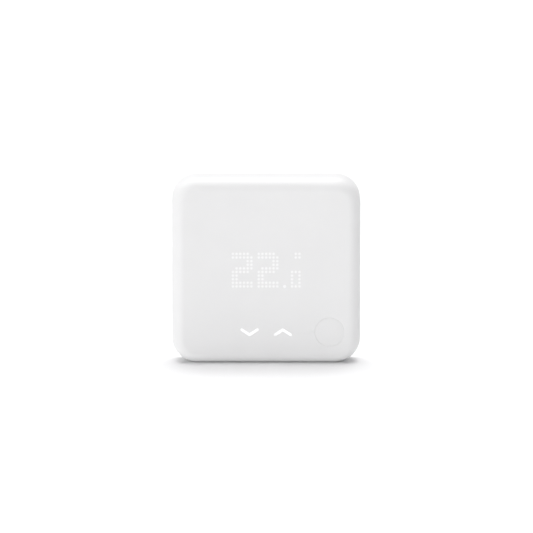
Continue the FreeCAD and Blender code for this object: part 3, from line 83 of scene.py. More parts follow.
cap_low, cap_high = millimetres("button_cap")
BUTTON_AT = ((cap_low.x + cap_high.x) / 2, (cap_low.z + cap_high.z) / 2)
BUTTON_HOLE = 8.1
BUTTON_GAP = 0.06
BUTTON_EDGE = 0.05
BUTTON_SKIN = 1.2
BUTTON_FLANGE_DEPTH = 0.8
POST_RADIUS = 1.5
POST_START = 0.62
POST_ROOT = 0.2
BUTTON_FLANGE = (cap_high.x - cap_low.x) / 2
BUTTON_REAR = -cap_high.y

MARK_HALF_RUN = 4.3
MARK_RISE = 2.9
STROKE = 0.62
GUIDE_SIZE = (13.0, 9.0)
GUIDE_CORNER = 1.0
GUIDE_DEPTH = 1.0

film_low, film_high = millimetres("diffuser_film")
DISPLAY_MIDDLE = (film_low.z + film_high.z) / 2
LED_PITCH = 2.04
LED_COLUMNS = 19
LED_ROWS = 10

VENT_FIRST = (-32.0, 9.0)
VENT_PITCH = (8.0, 2.4)
VENT_COUNT = (5, 2)
VENT_SIZE = (5.0, 1.2)
VENT_CORNER = 0.5

# a cell's profile as (radius, distance): from its foot, from its shoulder, and as a step inwards
CELL_FOOT = [(0, 0.25), (2.6, 0.25), (3.0, 0), (4.3, 0), (4.6, 0.25)]
CELL_FOOT_ROLL = 0.45
CELL_FOOT_RISE = 0.55
CELL_SIDE_START = 1.0
CELL_WASHER = [(4.1, 0), (3.9, -0.35), (2.6, -0.35)]
CELL_NUB = [(2.6, -0.35), (1.9, -0.1)]
CELL_BEAD = [(0, -2.0), (-0.12, -1.7), (-0.12, -1.4), (0, -1.1)]
CELL_BAND = 10.5
CELL_ROUNDING = 0.5
CELL_NUB_LENGTH = 1.0
CELL_TIP_RADIUS = 1.6
CELL_TIP_ROUNDING = 0.3

# ------------------------------------------------------------------ mesh building


class Builder:
    """Collects faces with their own corner normals, and joins corners that share a place."""

    def __init__(self):
        self.points = []
        self.known = {}
        self.faces = []
        self.normals = []
        self.slots = []

    def vertex(self, point):
        key = tuple(round(c * 10000) for c in point)
        if key not in self.known:
            self.known[key] = len(self.points)
            self.points.append(Vector(point) * MM)
        return self.known[key]

    def face(self, corners, normals, slot=0):
        indices = []
        kept = []
        for corner, normal in zip(corners, normals):
            index = self.vertex(corner)
            if index not in indices:
                indices.append(index)
                kept.append(normal)
        if len(indices) > 2:
            self.faces.append(indices)
            self.normals.extend(kept)
            self.slots.append(slot)

    def flat(self, corners, normal, slot=0):
        self.face(corners, [normal] * len(corners), slot)

    def make(self, name, body, materials, replaces):
        mesh = bpy.data.meshes.new(name)
        mesh.from_pydata(self.points, [], self.faces)
        for material in materials:
            mesh.materials.append(material)
        mesh.polygons.foreach_set("material_index", self.slots)
        mesh.polygons.foreach_set("use_smooth", [True] * len(self.faces))
        mesh.normals_split_custom_set([n.normalized() for n in self.normals])
        piece = bpy.data.objects.new(name, mesh)
        bpy.context.scene.collection.objects.link(piece)
        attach(piece, body)
        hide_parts(*replaces)
        return piece


class Axes:
    """A centre and three directions: two across, and one along, which is their cross product."""

    def __init__(self, centre, across, up):
        self.centre = Vector(centre)
        self.across = Vector(across)
        self.up = Vector(up)
        self.along = self.across.cross(self.up)

    def point(self, a, b, c):
        return self.centre + self.across * a + self.up * b + self.along * c

    def direction(self, a, b, c):
        return self.across * a + self.up * b + self.along * c


def front_axes(x=0.0, z=0.0):
    """Across +X, up +Z, along the way the front faces."""
    return Axes((x, 0, z), (1, 0, 0), (0, 0, 1))


def arc(centre, radius, start, end, steps):
    """Points of an arc, angles in degrees; the first coordinate is outwards, the second along."""
    turns = [math.radians(start + (end - start) * i / steps) for i in range(steps + 1)]
    return [(centre[0] + radius * math.cos(t), centre[1] + radius * math.sin(t)) for t in turns]


def circle_ring(steps=96):
    """Ring maker for a turned shape: outwards is the radius."""

    def ring(outwards):
        turns = [2 * math.pi * i / steps for i in range(steps)]
        return [(outwards * math.cos(t), outwards * math.sin(t), math.cos(t), math.sin(t)) for t in turns]

    return ring


def square_ring(half, corner, arc_steps=20):
    """Ring maker for a rounded square: outwards is the offset from its outline."""
    middle = half - corner

    def ring(outwards):
        points = []
        for quarter in range(4):
            turn = math.pi / 2 * quarter
            sign_x = 1 if quarter in (0, 3) else -1
            sign_y = 1 if quarter < 2 else -1
            for i in range(arc_steps + 1):
                t = turn + math.pi / 2 * i / arc_steps
                c, s = math.cos(t), math.sin(t)
                radius = corner + outwards
                points.append((sign_x * middle + radius * c, sign_y * middle + radius * s, c, s))
        return points

    return ring


SMOOTH_ANGLE = math.radians(35)


def corner_normals(profile):
    """For each stretch of a profile, the normals at its two ends: shared where the bend is slight."""
    flats = []
    for (o0, a0), (o1, a1) in zip(profile, profile[1:]):
        flats.append(Vector((a1 - a0, o0 - o1)).normalized())
    pairs = []
    for i, flat in enumerate(flats):
        ends = []
        for other in (i - 1, i + 1):
            smooth = 0 <= other < len(flats) and flat.angle(flats[other]) < SMOOTH_ANGLE
            ends.append((flat + flats[other]).normalized() if smooth else flat)
        pairs.append(ends)
    return pairs


def loft(builder, axes, ring, profile, slot=0, skip=None):
    """Carries a profile of (outwards, along) points round a ring.

    Its outer side is on the right of the way the profile runs.
    """
    normals = corner_normals(profile)
    rings = [ring(outwards) for outwards, _ in profile]
    for step, (n0, n1) in enumerate(normals):
        first, second = rings[step], rings[step + 1]
        along0, along1 = profile[step][1], profile[step + 1][1]
        for i in range(len(first)):
            j = (i + 1) % len(first)
            if skip and skip(step, first[i], first[j]):
                continue
            corners = []
            tilts = []
            for place, along, normal in (
                (first[i], along0, n0), (first[j], along0, n0),
                (second[j], along1, n1), (second[i], along1, n1),
            ):
                corners.append(axes.point(place[0], place[1], along))
                tilts.append(axes.direction(place[2] * normal.x, place[3] * normal.x, normal.y))
            builder.face(corners, tilts, slot)


def inside(point, loop):
    """True if a 2-D point lies inside a closed loop of 2-D points."""
    x, y = point
    hit = False
    for (x0, y0), (x1, y1) in zip(loop, loop[1:] + loop[:1]):
        if (y0 > y) != (y1 > y) and x < (x1 - x0) * (y - y0) / (y1 - y0) + x0:
            hit = not hit
    return hit


def fill(builder, axes, along, outline, holes, facing=1):
    """Fills a flat outline, less its holes, with triangles at one distance along the axes."""
    points = []
    edges = []
    for loop in [outline] + holes:
        start = len(points)
        points.extend(Vector(p) for p in loop)
        edges.extend((start + i, start + (i + 1) % len(loop)) for i in range(len(loop)))
    verts, _, faces, _, _, _ = delaunay_2d_cdt(points, edges, [], 0, 1e-6)
    normal = axes.direction(0, 0, facing)
    for face in faces:
        corners = [verts[i] for i in face]
        middle = sum(corners, Vector((0, 0))) / len(corners)
        if not inside(middle, outline) or any(inside(middle, hole) for hole in holes):
            continue
        area = (corners[1] - corners[0]).cross(corners[2] - corners[0])
        if area * facing < 0:
            corners.reverse()
        builder.flat([axes.point(c.x, c.y, along) for c in corners], normal)


def wall(builder, axes, loop, start, end, inward=False):
    """Extrudes a counter-clockwise loop along the axes; inward walls line a hole."""
    count = len(loop)
    sides = [Vector(loop[(i + 1) % count]) - Vector(loop[i]) for i in range(count)]
    flats = [Vector((side.y, -side.x)).normalized() for side in sides]
    sign = -1 if inward else 1
    for i in range(count):
        ends = []
        for other in (i - 1, (i + 1) % count):
            smooth = flats[i].angle(flats[other]) < SMOOTH_ANGLE
            ends.append((flats[i] + flats[other]).normalized() if smooth else flats[i])
        a, b = loop[i], loop[(i + 1) % count]
        places = [(a, start), (b, start), (b, end), (a, end)]
        corners = [axes.point(*place, along) for place, along in places]
        tilts = [axes.direction(n.x * sign, n.y * sign, 0) for n in (*ends, *reversed(ends))]
        if inward:
            corners.reverse()
            tilts.reverse()
        builder.face(corners, tilts)


def loop_of(ring_points):
    return [(p[0], p[1]) for p in ring_points]


def rounded_rectangle(width, height, radius, steps=6, x=0.0, z=0.0):
    """A counter-clockwise loop."""
    loop = []
    for quarter, (sx, sz) in enumerate([(1, 1), (-1, 1), (-1, -1), (1, -1)]):
        centre = (x + sx * (width / 2 - radius), z + sz * (height / 2 - radius))
        loop.extend(arc(centre, radius, quarter * 90, quarter * 90 + 90, steps))
    return loop


def chevron(mark, x, z):
    """The outline of an arrow mark: a bent, round-ended stroke, counter-clockwise."""
    tilt = math.degrees(math.atan2(MARK_RISE, MARK_HALF_RUN))
    high = MARK_RISE / 2
    notch = high - STROKE / math.cos(math.radians(tilt))
    loop = [(0.0, notch)]
    loop.extend(reversed(arc((-MARK_HALF_RUN, -high), STROKE, 90 + tilt, 270 + tilt, 12)))
    loop.extend(reversed(arc((0.0, high), STROKE, 90 - tilt, 90 + tilt, 10)))
    loop.extend(reversed(arc((MARK_HALF_RUN, -high), STROKE, -90 - tilt, 90 - tilt, 12)))
    loop.reverse()
    if mark == "down":
        loop = [(-a, -b) for a, b in loop]
    return [(x + a, z + b) for a, b in loop]


# ------------------------------------------------------------------ materials


class Material:
    """A Principled material whose patterns are worked out in the object's own metres."""

    def __init__(self, name, color, roughness, metallic=0.0, specular=0.5, coat=0.0):
        self.material = bpy.data.materials.new(name)
        self.material.use_nodes = True
        self.tree = self.material.node_tree
        self.shader = self.tree.nodes["Principled BSDF"]
        self.shader.inputs["Base Color"].default_value = (*color, 1)
        self.shader.inputs["Roughness"].default_value = roughness
        self.shader.inputs["Metallic"].default_value = metallic
        self.shader.inputs["Specular IOR Level"].default_value = specular
        self.shader.inputs["Coat Weight"].default_value = coat
        self.color = color
        self.roughness = roughness
        self.place = self.node("ShaderNodeTexCoord").outputs["Object"]

    def node(self, kind, **values):
        made = self.tree.nodes.new(kind)
        for name, value in values.items():
            setattr(made, name, value)
        return made

    def link(self, source, target):
        self.tree.links.new(source, target)

    def noise(self, size, detail=2.0, stretch=(1, 1, 1)):
        """Noise whose grains are about the given size in millimetres."""
        scaled = self.node("ShaderNodeVectorMath", operation="MULTIPLY")
        self.link(self.place, scaled.inputs[0])
        scaled.inputs[1].default_value = stretch
        texture = self.node("ShaderNodeTexNoise")
        texture.inputs["Scale"].default_value = 1 / (size * MM)
        texture.inputs["Detail"].default_value = detail
        self.link(scaled.outputs[0], texture.inputs["Vector"])
        return texture.outputs["Fac"]

    def remap(self, source, low, high, start=0.0, end=1.0):
        ranged = self.node("ShaderNodeMapRange")
        ranged.inputs["From Min"].default_value = start
        ranged.inputs["From Max"].default_value = end
        ranged.inputs["To Min"].default_value = low
        ranged.inputs["To Max"].default_value = high
        self.link(source, ranged.inputs["Value"])
        return ranged.outputs["Result"]

    def tint(self, source, other, low=0.3, high=0.7):
        """Mixes the base colour towards another by a pattern."""
        mix = self.node("ShaderNodeMix", data_type="RGBA")
        mix.inputs["A"].default_value = (*self.color, 1)
        mix.inputs["B"].default_value = (*other, 1)
        self.link(self.remap(source, 0, 1, low, high), mix.inputs["Factor"])
        self.link(mix.outputs["Result"], self.shader.inputs["Base Color"])
        return mix

    def rough(self, source, spread):
        low, high = self.roughness - spread, self.roughness + spread
        self.link(self.remap(source, low, high), self.shader.inputs["Roughness"])

    def bump(self, source, height, strength=1.0):
        """Relief of the given height in millimetres."""
        relief = self.node("ShaderNodeBump")
        relief.inputs["Distance"].default_value = height * MM
        relief.inputs["Strength"].default_value = strength
        self.link(source, relief.inputs["Height"])
        self.link(relief.outputs["Normal"], self.shader.inputs["Normal"])


def moulded(name, color, roughness=0.5, grain=0.16, relief=0.010, shade=0.985):
    """Moulded plastic with a fine spark-eroded grain and slight unevenness of tone."""
    made = Material(name, color, roughness)
    made.tint(made.noise(22.0, 3.0), tuple(c * shade for c in color))
    made.rough(made.noise(1.6), 0.05)
    made.bump(made.noise(grain, 3.0), relief)
    return made


def metal(name, color, roughness=0.28, stretch=(1, 1, 1), grain=0.4):
    """Plated or drawn metal with faint lines along its grain."""
    made = Material(name, color, roughness, metallic=1.0)
    made.tint(made.noise(3.0, 4.0), tuple(c * 0.82 for c in color))
    made.rough(made.noise(grain, 4.0, stretch), 0.10)
    made.bump(made.noise(grain * 0.4, 2.0, stretch), 0.004)
    return made


SHELL_WHITE = (0.87, 0.87, 0.868)

# glow of one light: where it ends and where it is full, from its middle, and its strength
DOT_EDGE = 1.02
DOT_CORE = 0.34
DOT_GLOW = 0.132
POINT_CORE = 0.62
POINT_GLOW = 0.16
MARK_GLOW = 0.32


def lit_plastic(name, core, strength):
    """The shell's plastic with the round glow of one light in the middle of each lattice cell."""
    made = moulded(name, SHELL_WHITE)
    half_x = LED_PITCH * LED_COLUMNS / 2
    half_z = LED_PITCH * LED_ROWS / 2
    shifted = made.node("ShaderNodeVectorMath", operation="ADD")
    made.link(made.place, shifted.inputs[0])
    shifted.inputs[1].default_value = (half_x * MM, 0, (half_z - DISPLAY_MIDDLE) * MM)
    scaled = made.node("ShaderNodeVectorMath", operation="MULTIPLY")
    made.link(shifted.outputs[0], scaled.inputs[0])
    scaled.inputs[1].default_value = (1 / (LED_PITCH * MM), 0, 1 / (LED_PITCH * MM))
    wrapped = made.node("ShaderNodeVectorMath", operation="FRACTION")
    made.link(scaled.outputs[0], wrapped.inputs[0])
    centred = made.node("ShaderNodeVectorMath", operation="SUBTRACT")
    made.link(wrapped.outputs[0], centred.inputs[0])
    centred.inputs[1].default_value = (0.5, 0, 0.5)
    reach = made.node("ShaderNodeVectorMath", operation="LENGTH")
    made.link(centred.outputs[0], reach.inputs[0])
    glow = made.node("ShaderNodeMapRange", interpolation_type="SMOOTHSTEP")
    glow.inputs["From Min"].default_value = DOT_EDGE / LED_PITCH
    glow.inputs["From Max"].default_value = core / LED_PITCH
    glow.inputs["To Min"].default_value = 0.0
    glow.inputs["To Max"].default_value = strength
    made.link(reach.outputs["Value"], glow.inputs["Value"])
    made.shader.inputs["Emission Color"].default_value = (1.0, 1.0, 1.0, 1)
    made.link(glow.outputs["Result"], made.shader.inputs["Emission Strength"])
    return made



shell_white = moulded("shell_white", SHELL_WHITE)
shell_lit = lit_plastic("shell_lit", DOT_CORE, DOT_GLOW)
shell_point = lit_plastic("shell_point", POINT_CORE, POINT_GLOW)
button_white = moulded("button_white", SHELL_WHITE)
inner_white = moulded("chassis_white", (0.76, 0.76, 0.76), 0.42, 0.5, 0.006)
plate_white = moulded("plate_white", (0.78, 0.78, 0.775), 0.45, 0.5, 0.006)


def mark_light():
    """Milky clear plastic, lit evenly from behind."""
    made = Material("mark_light", (0.92, 0.93, 0.95), 0.30)
    made.tint(made.noise(2.5), (0.96, 0.97, 0.98))
    made.bump(made.noise(0.2), 0.004)
    made.shader.inputs["Emission Color"].default_value = (1.0, 1.0, 1.0, 1)
    made.shader.inputs["Emission Strength"].default_value = MARK_GLOW
    return made


def circuit_board():
    """Green solder mask over copper tracks, with plated through holes."""
    made = Material("circuit_board", (0.012, 0.115, 0.05), 0.32, coat=0.3)
    tracks = made.node("ShaderNodeTexBrick")
    tracks.offset = 0.35
    tracks.inputs["Scale"].default_value = 1 / (2.6 * MM)
    tracks.inputs["Mortar Size"].default_value = 0.09
    tracks.inputs["Color1"].default_value = (0, 0, 0, 1)
    tracks.inputs["Color2"].default_value = (0, 0, 0, 1)
    tracks.inputs["Mortar"].default_value = (1, 1, 1, 1)
    swapped = made.node("ShaderNodeSeparateXYZ")
    joined = made.node("ShaderNodeCombineXYZ")
    made.link(made.place, swapped.inputs[0])
    made.link(swapped.outputs["X"], joined.inputs["X"])
    made.link(swapped.outputs["Z"], joined.inputs["Y"])
    made.link(joined.outputs[0], tracks.inputs["Vector"])
    made.tint(tracks.outputs["Color"], (0.03, 0.22, 0.09), 0.0, 1.0)
    made.bump(tracks.outputs["Color"], 0.02)
    return made


def printed_sleeve():
    """A cell's plain shrink sleeve."""
    made = Material("battery_sleeve", (0.10, 0.15, 0.20), 0.25, coat=0.5)
    made.tint(made.noise(4.0, 3.0), (0.12, 0.17, 0.225))
    made.rough(made.noise(0.8, 3.0), 0.06)
    made.bump(made.noise(1.2, 2.0), 0.006)
    return made


def foam():
    """Closed-cell foam tape."""
    made = Material("foam_tape", (0.80, 0.80, 0.78), 0.9)
    cells = made.node("ShaderNodeTexVoronoi")
    cells.inputs["Scale"].default_value = 1 / (0.35 * MM)
    made.link(made.place, cells.inputs["Vector"])
    made.tint(cells.outputs["Distance"], (0.68, 0.68, 0.66), 0.0, 0.7)
    made.bump(cells.outputs["Distance"], 0.05)
    return made


def epoxy(name, color, roughness=0.45):
    """Moulded epoxy or nylon, slightly speckled."""
    made = Material(name, color, roughness)
    made.tint(made.noise(0.5, 4.0), tuple(min(1.0, c * 1.35 + 0.004) for c in color))
    made.rough(made.noise(0.3, 2.0), 0.08)
    made.bump(made.noise(0.12, 2.0), 0.006)
    return made


NODE_MATERIALS = {
    "light_guide": mark_light(),
    "circuit_board": circuit_board(),
    "battery_sleeve": printed_sleeve(),
    "foam_tape": foam(),
    "chassis_white": inner_white,
    "plate_white": plate_white,
    "baffle_white": moulded("baffle_white", (0.86, 0.86, 0.86), 0.4, 0.3, 0.004),
    "diffuser_film": moulded("diffuser_film", (0.88, 0.88, 0.89), 0.35, 0.1, 0.002),
    "copper": metal("copper", (0.86, 0.60, 0.36), 0.25),
    "tin_plate": metal("tin_plate", (0.72, 0.71, 0.69), 0.33, (1, 1, 12)),
    "tinned_copper": metal("tinned_copper", (0.75, 0.74, 0.71), 0.3),
    "spring_steel": metal("spring_steel", (0.74, 0.73, 0.70), 0.2, (1, 1, 8)),
    "screw_steel": metal("screw_steel", (0.70, 0.70, 0.71), 0.26),
    "capacitor_can": metal("capacitor_can", (0.80, 0.80, 0.81), 0.3, (1, 10, 1)),
    "chip_black": epoxy("chip_black", (0.022, 0.022, 0.024)),
    "relay_black": epoxy("relay_black", (0.018, 0.019, 0.022), 0.3),
    "switch_black": epoxy("switch_black", (0.03, 0.03, 0.032)),
    "switch_ivory": epoxy("switch_ivory", (0.70, 0.66, 0.55), 0.3),
    "light_chip": epoxy("light_chip", (0.80, 0.74, 0.42), 0.3),
    "ceramic_tan": epoxy("ceramic_tan", (0.36, 0.25, 0.16)),
    "terminal_grey": epoxy("terminal_grey", (0.30, 0.33, 0.34), 0.4),
}


BEVEL_SHARE = 0.06
BEVEL_RANGE = (0.02, 0.18)
BEVEL_ANGLE = 40


def dress_frame():
    """Gives each CAD node that stays the material of its slot, and softens its sharp edges."""
    for name, node in frame["nodes"].items():
        made = NODE_MATERIALS.get(SLOTS[name])
        if made is None:
            continue
        node.data.materials.clear()
        node.data.materials.append(made.material)
        low, high = millimetres(name)
        width = min(max(min(high - low) * BEVEL_SHARE, BEVEL_RANGE[0]), BEVEL_RANGE[1])
        bevel = node.modifiers.new("soft_edges", "BEVEL")
        bevel.width = width * MM
        bevel.segments = 2
        bevel.limit_method = "ANGLE"
        bevel.angle_limit = math.radians(BEVEL_ANGLE)
        bevel.harden_normals = True


# ------------------------------------------------------------------ shell


LIT_ROWS = {
    "two": [
        "11111.", "111111", "....11", "....11", ".11111",
        "11111.", "11....", "11....", "111111", "111111",
    ],
    "small_zero": ["111", "1.1", "1.1", "1.1", "111"],
    "degree": ["11", "11"],
    "point": ["1"],
}

# which glyph, and its left column and top row in the lattice
GLYPHS = [("two", 0, 0), ("two", 7, 0), ("point", 14, 9), ("small_zero", 16, 5), ("degree", 17, 0)]


def lit_cells():
    """For each lit cell of the lattice, the shell's material slot it takes."""
    cells = {}
    for glyph, left, top in GLYPHS:
        for row, text in enumerate(LIT_ROWS[glyph]):
            for column, mark in enumerate(text):
                if mark == "1":
                    cells[left + column, top + row] = 2 if glyph == "point" else 1
    return cells


def make_front_shell():
    """The white shell: a lofted wall with a filled front, its display lattice and its openings."""
    builder = Builder()
    axes = front_axes()
    ring = square_ring(HALF_WIDTH, CORNER)
    fillet_at = (-FILLET, DEPTH - FILLET)
    edge = RIM_EDGE
    inner = arc(fillet_at, FILLET - WALL, 90, 0, 10)
    rim = arc((-WALL + edge, SHELL_REAR + edge), edge, 180, 270, 4)
    rim += arc((-edge, SHELL_REAR + edge), edge, 270, 360, 4)
    outer = arc(fillet_at, FILLET, 0, 90, 24)
    profile = inner + rim + outer
    inner_step = len(inner) - 1
    outer_step = len(inner) + len(rim) - 1

    def at_vents(step, a, b):
        on_bottom = a[3] < -0.9999 and b[3] < -0.9999 and abs(a[0] - b[0]) > CORNER
        return on_bottom and step in (inner_step, outer_step)

    loft(builder, axes, ring, profile, 0, at_vents)

    left = -LED_PITCH * LED_COLUMNS / 2
    top = DISPLAY_MIDDLE + LED_PITCH * LED_ROWS / 2
    columns = [left + LED_PITCH * i for i in range(LED_COLUMNS + 1)]
    rows = [top - LED_PITCH * i for i in range(LED_ROWS + 1)]
    lattice = [(x, rows[-1]) for x in columns[:-1]] + [(columns[-1], z) for z in reversed(rows[1:])]
    lattice += [(x, rows[0]) for x in reversed(columns[1:])] + [(columns[0], z) for z in rows[:-1]]
    lit = lit_cells()
    for column in range(LED_COLUMNS):
        for row in range(LED_ROWS):
            x0, x1, z0, z1 = columns[column], columns[column + 1], rows[row + 1], rows[row]
            corners = [axes.point(x, z, DEPTH) for x, z in ((x0, z0), (x1, z0), (x1, z1), (x0, z1))]
            builder.flat(corners, axes.along, lit.get((column, row), 0))

    marks = [chevron(mark, *mark_place(mark)) for mark in ("down", "up")]
    button = button_circle(BUTTON_HOLE + BUTTON_EDGE)
    button_inner = button_circle(BUTTON_HOLE)
    fill(builder, axes, DEPTH, loop_of(ring(-FILLET)), [lattice, button] + marks)
    window = window_loop()
    window_front = DEPTH - WINDOW_SKIN
    fill(builder, axes, INNER_FRONT, loop_of(ring(-FILLET)), [window, button_inner] + marks, facing=-1)
    fill(builder, axes, window_front, window, [], facing=-1)
    wall(builder, axes, window, INNER_FRONT, window_front, inward=True)
    for mark in marks:
        wall(builder, axes, mark, INNER_FRONT, DEPTH, inward=True)
    edge_at = (BUTTON_HOLE + BUTTON_EDGE, DEPTH - BUTTON_EDGE)
    lining = arc(edge_at, BUTTON_EDGE, 90, 180, 4) + [(BUTTON_HOLE, INNER_FRONT)]
    loft(builder, front_axes(*BUTTON_AT), circle_ring(), lining)
    vent_walls(builder)
    for place in BOSSES:
        boss(builder, *place)
    materials = [shell_white.material, shell_lit.material, shell_point.material]
    builder.make("front_shell", "unit", materials, ["front_housing"])


def window_loop():
    """The recess behind the front that takes the baffle and its film."""
    left, right = film_low.x - WINDOW_CLEARANCE, film_high.x + WINDOW_CLEARANCE
    low, high = film_low.z - WINDOW_CLEARANCE, film_high.z + WINDOW_CLEARANCE
    return [(left, low), (right, low), (right, high), (left, high)]


def button_circle(radius):
    return [(x + BUTTON_AT[0], z + BUTTON_AT[1]) for x, z, _, _ in circle_ring()(radius)]


def mark_place(mark):
    low, high = millimetres(f"chevron_guide_{mark}")
    return (low.x + high.x) / 2, (low.z + high.z) / 2


def vent_walls(builder):
    """The shell's flat bottom, inside and out, with two rows of short air slots."""
    down = Axes((0, 0, 0), (1, 0, 0), (0, -1, 0))
    half = HALF_WIDTH - CORNER
    rear, front = SHELL_REAR + RIM_EDGE, DEPTH - FILLET
    outline = [(-half, rear), (half, rear), (half, front), (-half, front)]
    slots = []
    for row in range(VENT_COUNT[1]):
        for column in range(VENT_COUNT[0]):
            x = VENT_FIRST[0] + VENT_PITCH[0] * column
            forward = VENT_FIRST[1] - VENT_PITCH[1] * row
            slots.append(rounded_rectangle(*VENT_SIZE, VENT_CORNER, 4, x, forward))
    fill(builder, down, HALF_WIDTH, outline, slots)
    fill(builder, down, HALF_WIDTH - WALL, outline, slots, facing=-1)
    for loop in slots:
        wall(builder, down, loop, HALF_WIDTH - WALL, HALF_WIDTH, inward=True)


def boss(builder, x, z, rear):
    """A screw boss behind the front wall, with its pilot hole."""
    floor = min(rear + PILOT_DEPTH, INNER_FRONT)
    root = INNER_FRONT + BOSS_ROOT
    profile = [(0, floor), (PILOT_RADIUS, floor), (PILOT_RADIUS, rear)]
    profile += [(BOSS_RADIUS, rear), (BOSS_RADIUS, root), (0, root)]
    loft(builder, front_axes(x, z), circle_ring(32), profile)


def make_button():
    """The round cap: a thin-walled cup with a flange behind the shell and a post in its middle."""
    builder = Builder()
    axes = front_axes(*BUTTON_AT)
    cap = BUTTON_HOLE - BUTTON_GAP
    floor = DEPTH - BUTTON_SKIN
    hollow = cap - BUTTON_SKIN
    flange_front = BUTTON_REAR + BUTTON_FLANGE_DEPTH
    profile = [(0, floor), (hollow, floor), (hollow, BUTTON_REAR), (BUTTON_FLANGE, BUTTON_REAR)]
    profile += [(BUTTON_FLANGE, flange_front), (cap, flange_front)]
    profile += arc((cap - BUTTON_EDGE, DEPTH - BUTTON_EDGE), BUTTON_EDGE, 0, 90, 4) + [(0, DEPTH)]
    loft(builder, axes, circle_ring(), profile)
    rear = BUTTON_REAR + POST_START
    root = floor + POST_ROOT
    post = [(0, rear), (POST_RADIUS, rear), (POST_RADIUS, root), (0, root)]
    loft(builder, axes, circle_ring(32), post)
    builder.make("push_button", "main_button", [button_white.material], ["button_cap"])


def make_marks():
    """Each arrow mark's light guide: its chevron fills the shell's opening, with a base behind."""
    for mark in ("down", "up"):
        builder = Builder()
        x, z = mark_place(mark)
        axes = front_axes()
        loop = chevron(mark, x, z)
        base = rounded_rectangle(*GUIDE_SIZE, GUIDE_CORNER, 6, x, z)
        base_rear = INNER_FRONT - GUIDE_DEPTH
        fill(builder, axes, DEPTH, loop, [])
        wall(builder, axes, loop, INNER_FRONT, DEPTH)
        fill(builder, axes, INNER_FRONT, base, [loop])
        wall(builder, axes, base, base_rear, INNER_FRONT)
        fill(builder, axes, base_rear, base, [], facing=-1)
        guide = NODE_MATERIALS["light_guide"].material
        builder.make(f"mark_{mark}", "unit", [guide], [f"chevron_guide_{mark}"])


# ------------------------------------------------------------------ batteries


def shifted(profile, outwards, along):
    return [(o + outwards, a + along) for o, a in profile]


def make_batteries():
    """Three cells: a banded sleeve on a can, a crimped end, a bare foot and a raised button."""
    steel = NODE_MATERIALS["spring_steel"].material
    sleeve = NODE_MATERIALS["battery_sleeve"].material
    sleeve_band = moulded("sleeve_band", (0.60, 0.61, 0.61), 0.3, 0.6, 0.004, 0.94).material
    washer = NODE_MATERIALS["relay_black"].material
    materials = [sleeve, steel, washer, sleeve_band]
    for name, way in (("battery_top", -1), ("battery_middle", 1), ("battery_bottom", -1)):
        low, high = millimetres(name)
        radius = (high.z - low.z) / 2
        centre = ((low.x + high.x) / 2, (low.y + high.y) / 2, (low.z + high.z) / 2)
        axes = Axes(centre, (0, way, 0), (0, 0, 1))
        tip = (high.x - low.x) / 2
        foot = -tip
        shoulder = tip - CELL_NUB_LENGTH
        band_at = shoulder - CELL_BAND
        bottom = shifted(CELL_FOOT, 0, foot)
        roll_at = (radius - CELL_FOOT_ROLL, foot + CELL_FOOT_RISE)
        side = [bottom[-1]] + arc(roll_at, CELL_FOOT_ROLL, 270, 360, 5)
        side += [(radius, foot + CELL_SIDE_START), (radius, band_at)]
        washer_profile = shifted(CELL_WASHER, 0, shoulder)
        band = [(radius, band_at)] + shifted(CELL_BEAD, radius, shoulder)
        band += arc((radius - CELL_ROUNDING, shoulder - CELL_ROUNDING), CELL_ROUNDING, 0, 90, 5)
        band.append(washer_profile[0])
        nub = shifted(CELL_NUB, 0, shoulder)
        nub += arc((CELL_TIP_RADIUS, tip - CELL_TIP_ROUNDING), CELL_TIP_ROUNDING, 0, 90, 4) + [(0, tip)]
        builder = Builder()
        for profile, slot in ((bottom, 1), (side, 0), (band, 3), (washer_profile, 2), (nub, 1)):
            loft(builder, axes, circle_ring(64), profile, slot)
        builder.make(f"cell_{name[8:]}", "unit", materials, [name])


# ------------------------------------------------------------------ studio

FLOOR_LEVEL = shell_low.z * MM
FLOOR_SIZE = 30.0


def make_floor():
    """A plain pale floor under the flat bottom side."""
    mesh = bpy.data.meshes.new("floor")
    half = FLOOR_SIZE / 2
    corners = [(-half, -half), (half, -half), (half, half), (-half, half)]
    mesh.from_pydata([(x, y, FLOOR_LEVEL) for x, y in corners], [], [(0, 1, 2, 3)])
    floor = bpy.data.objects.new("floor", mesh)
    bpy.context.scene.collection.objects.link(floor)
    paint = Material("floor_paint", (0.95, 0.95, 0.95), 0.9, specular=0.0)
    paint.tint(paint.noise(400.0), (0.945, 0.945, 0.947))
    mesh.materials.append(paint.material)


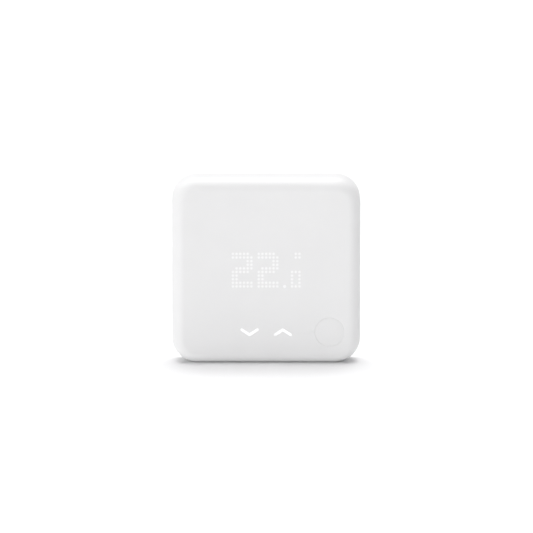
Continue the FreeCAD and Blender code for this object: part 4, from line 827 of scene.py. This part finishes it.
def make_sun(name, azimuth, elevation, spread, strength, color=(1, 1, 1)):
    """A soft sun; azimuth 0 shines from in front of the object and 90 from its right."""
    light = bpy.data.lights.new(name, "SUN")
    light.angle = math.radians(spread)
    light.energy = strength
    light.color = color
    lamp = bpy.data.objects.new(name, light)
    a, e = math.radians(azimuth), math.radians(elevation)
    towards = Vector((math.sin(a) * math.cos(e), -math.cos(a) * math.cos(e), math.sin(e)))
    lamp.rotation_mode = "QUATERNION"
    lamp.rotation_quaternion = towards.to_track_quat("Z", "Y")
    bpy.context.scene.collection.objects.link(lamp)


def make_world(color, strength):
    world = bpy.data.worlds.new("studio")
    world.use_nodes = True
    background = world.node_tree.nodes["Background"]
    background.inputs["Color"].default_value = (*color, 1)
    background.inputs["Strength"].default_value = strength
    bpy.context.scene.world = world


CAMERA_ELEVATION = 12.0
CAMERA_DISTANCE = 4084.0
LENS = 500.0
AIM = (0.17, 3.16)


def make_camera():
    """A long lens, slightly above the object and square to its front."""
    camera = bpy.data.cameras.new("camera")
    camera.lens = LENS
    camera.sensor_width = 36.0
    camera.clip_end = 50.0
    holder = bpy.data.objects.new("camera", camera)
    e = math.radians(CAMERA_ELEVATION)
    back = Vector((0, -math.cos(e), math.sin(e)))
    aim = Vector((AIM[0], -DEPTH, AIM[1])) * MM
    holder.location = aim + back * CAMERA_DISTANCE * MM
    holder.rotation_mode = "QUATERNION"
    holder.rotation_quaternion = back.to_track_quat("Z", "Y")
    bpy.context.scene.collection.objects.link(holder)
    bpy.context.scene.camera = holder


dress_frame()
make_front_shell()
make_button()
make_marks()
make_batteries()
make_floor()
make_world((0.985, 0.98, 1.0), 0.38)
make_sun("overhead", 180, 81, 46, 1.95)
make_sun("overhead_rear", 180, 68, 30, 0.262)
make_sun("rear", 180, 35, 60, 0.16)
make_sun("rear_right", 135, 45, 60, 0.136)
make_sun("rear_left", -135, 45, 60, 0.108)
make_sun("front_left", -30, 2, 30, 0.80)
make_sun("side_left", -60, 2, 30, 0.787)
make_camera()
bpy.context.scene.view_settings.view_transform = "Standard"
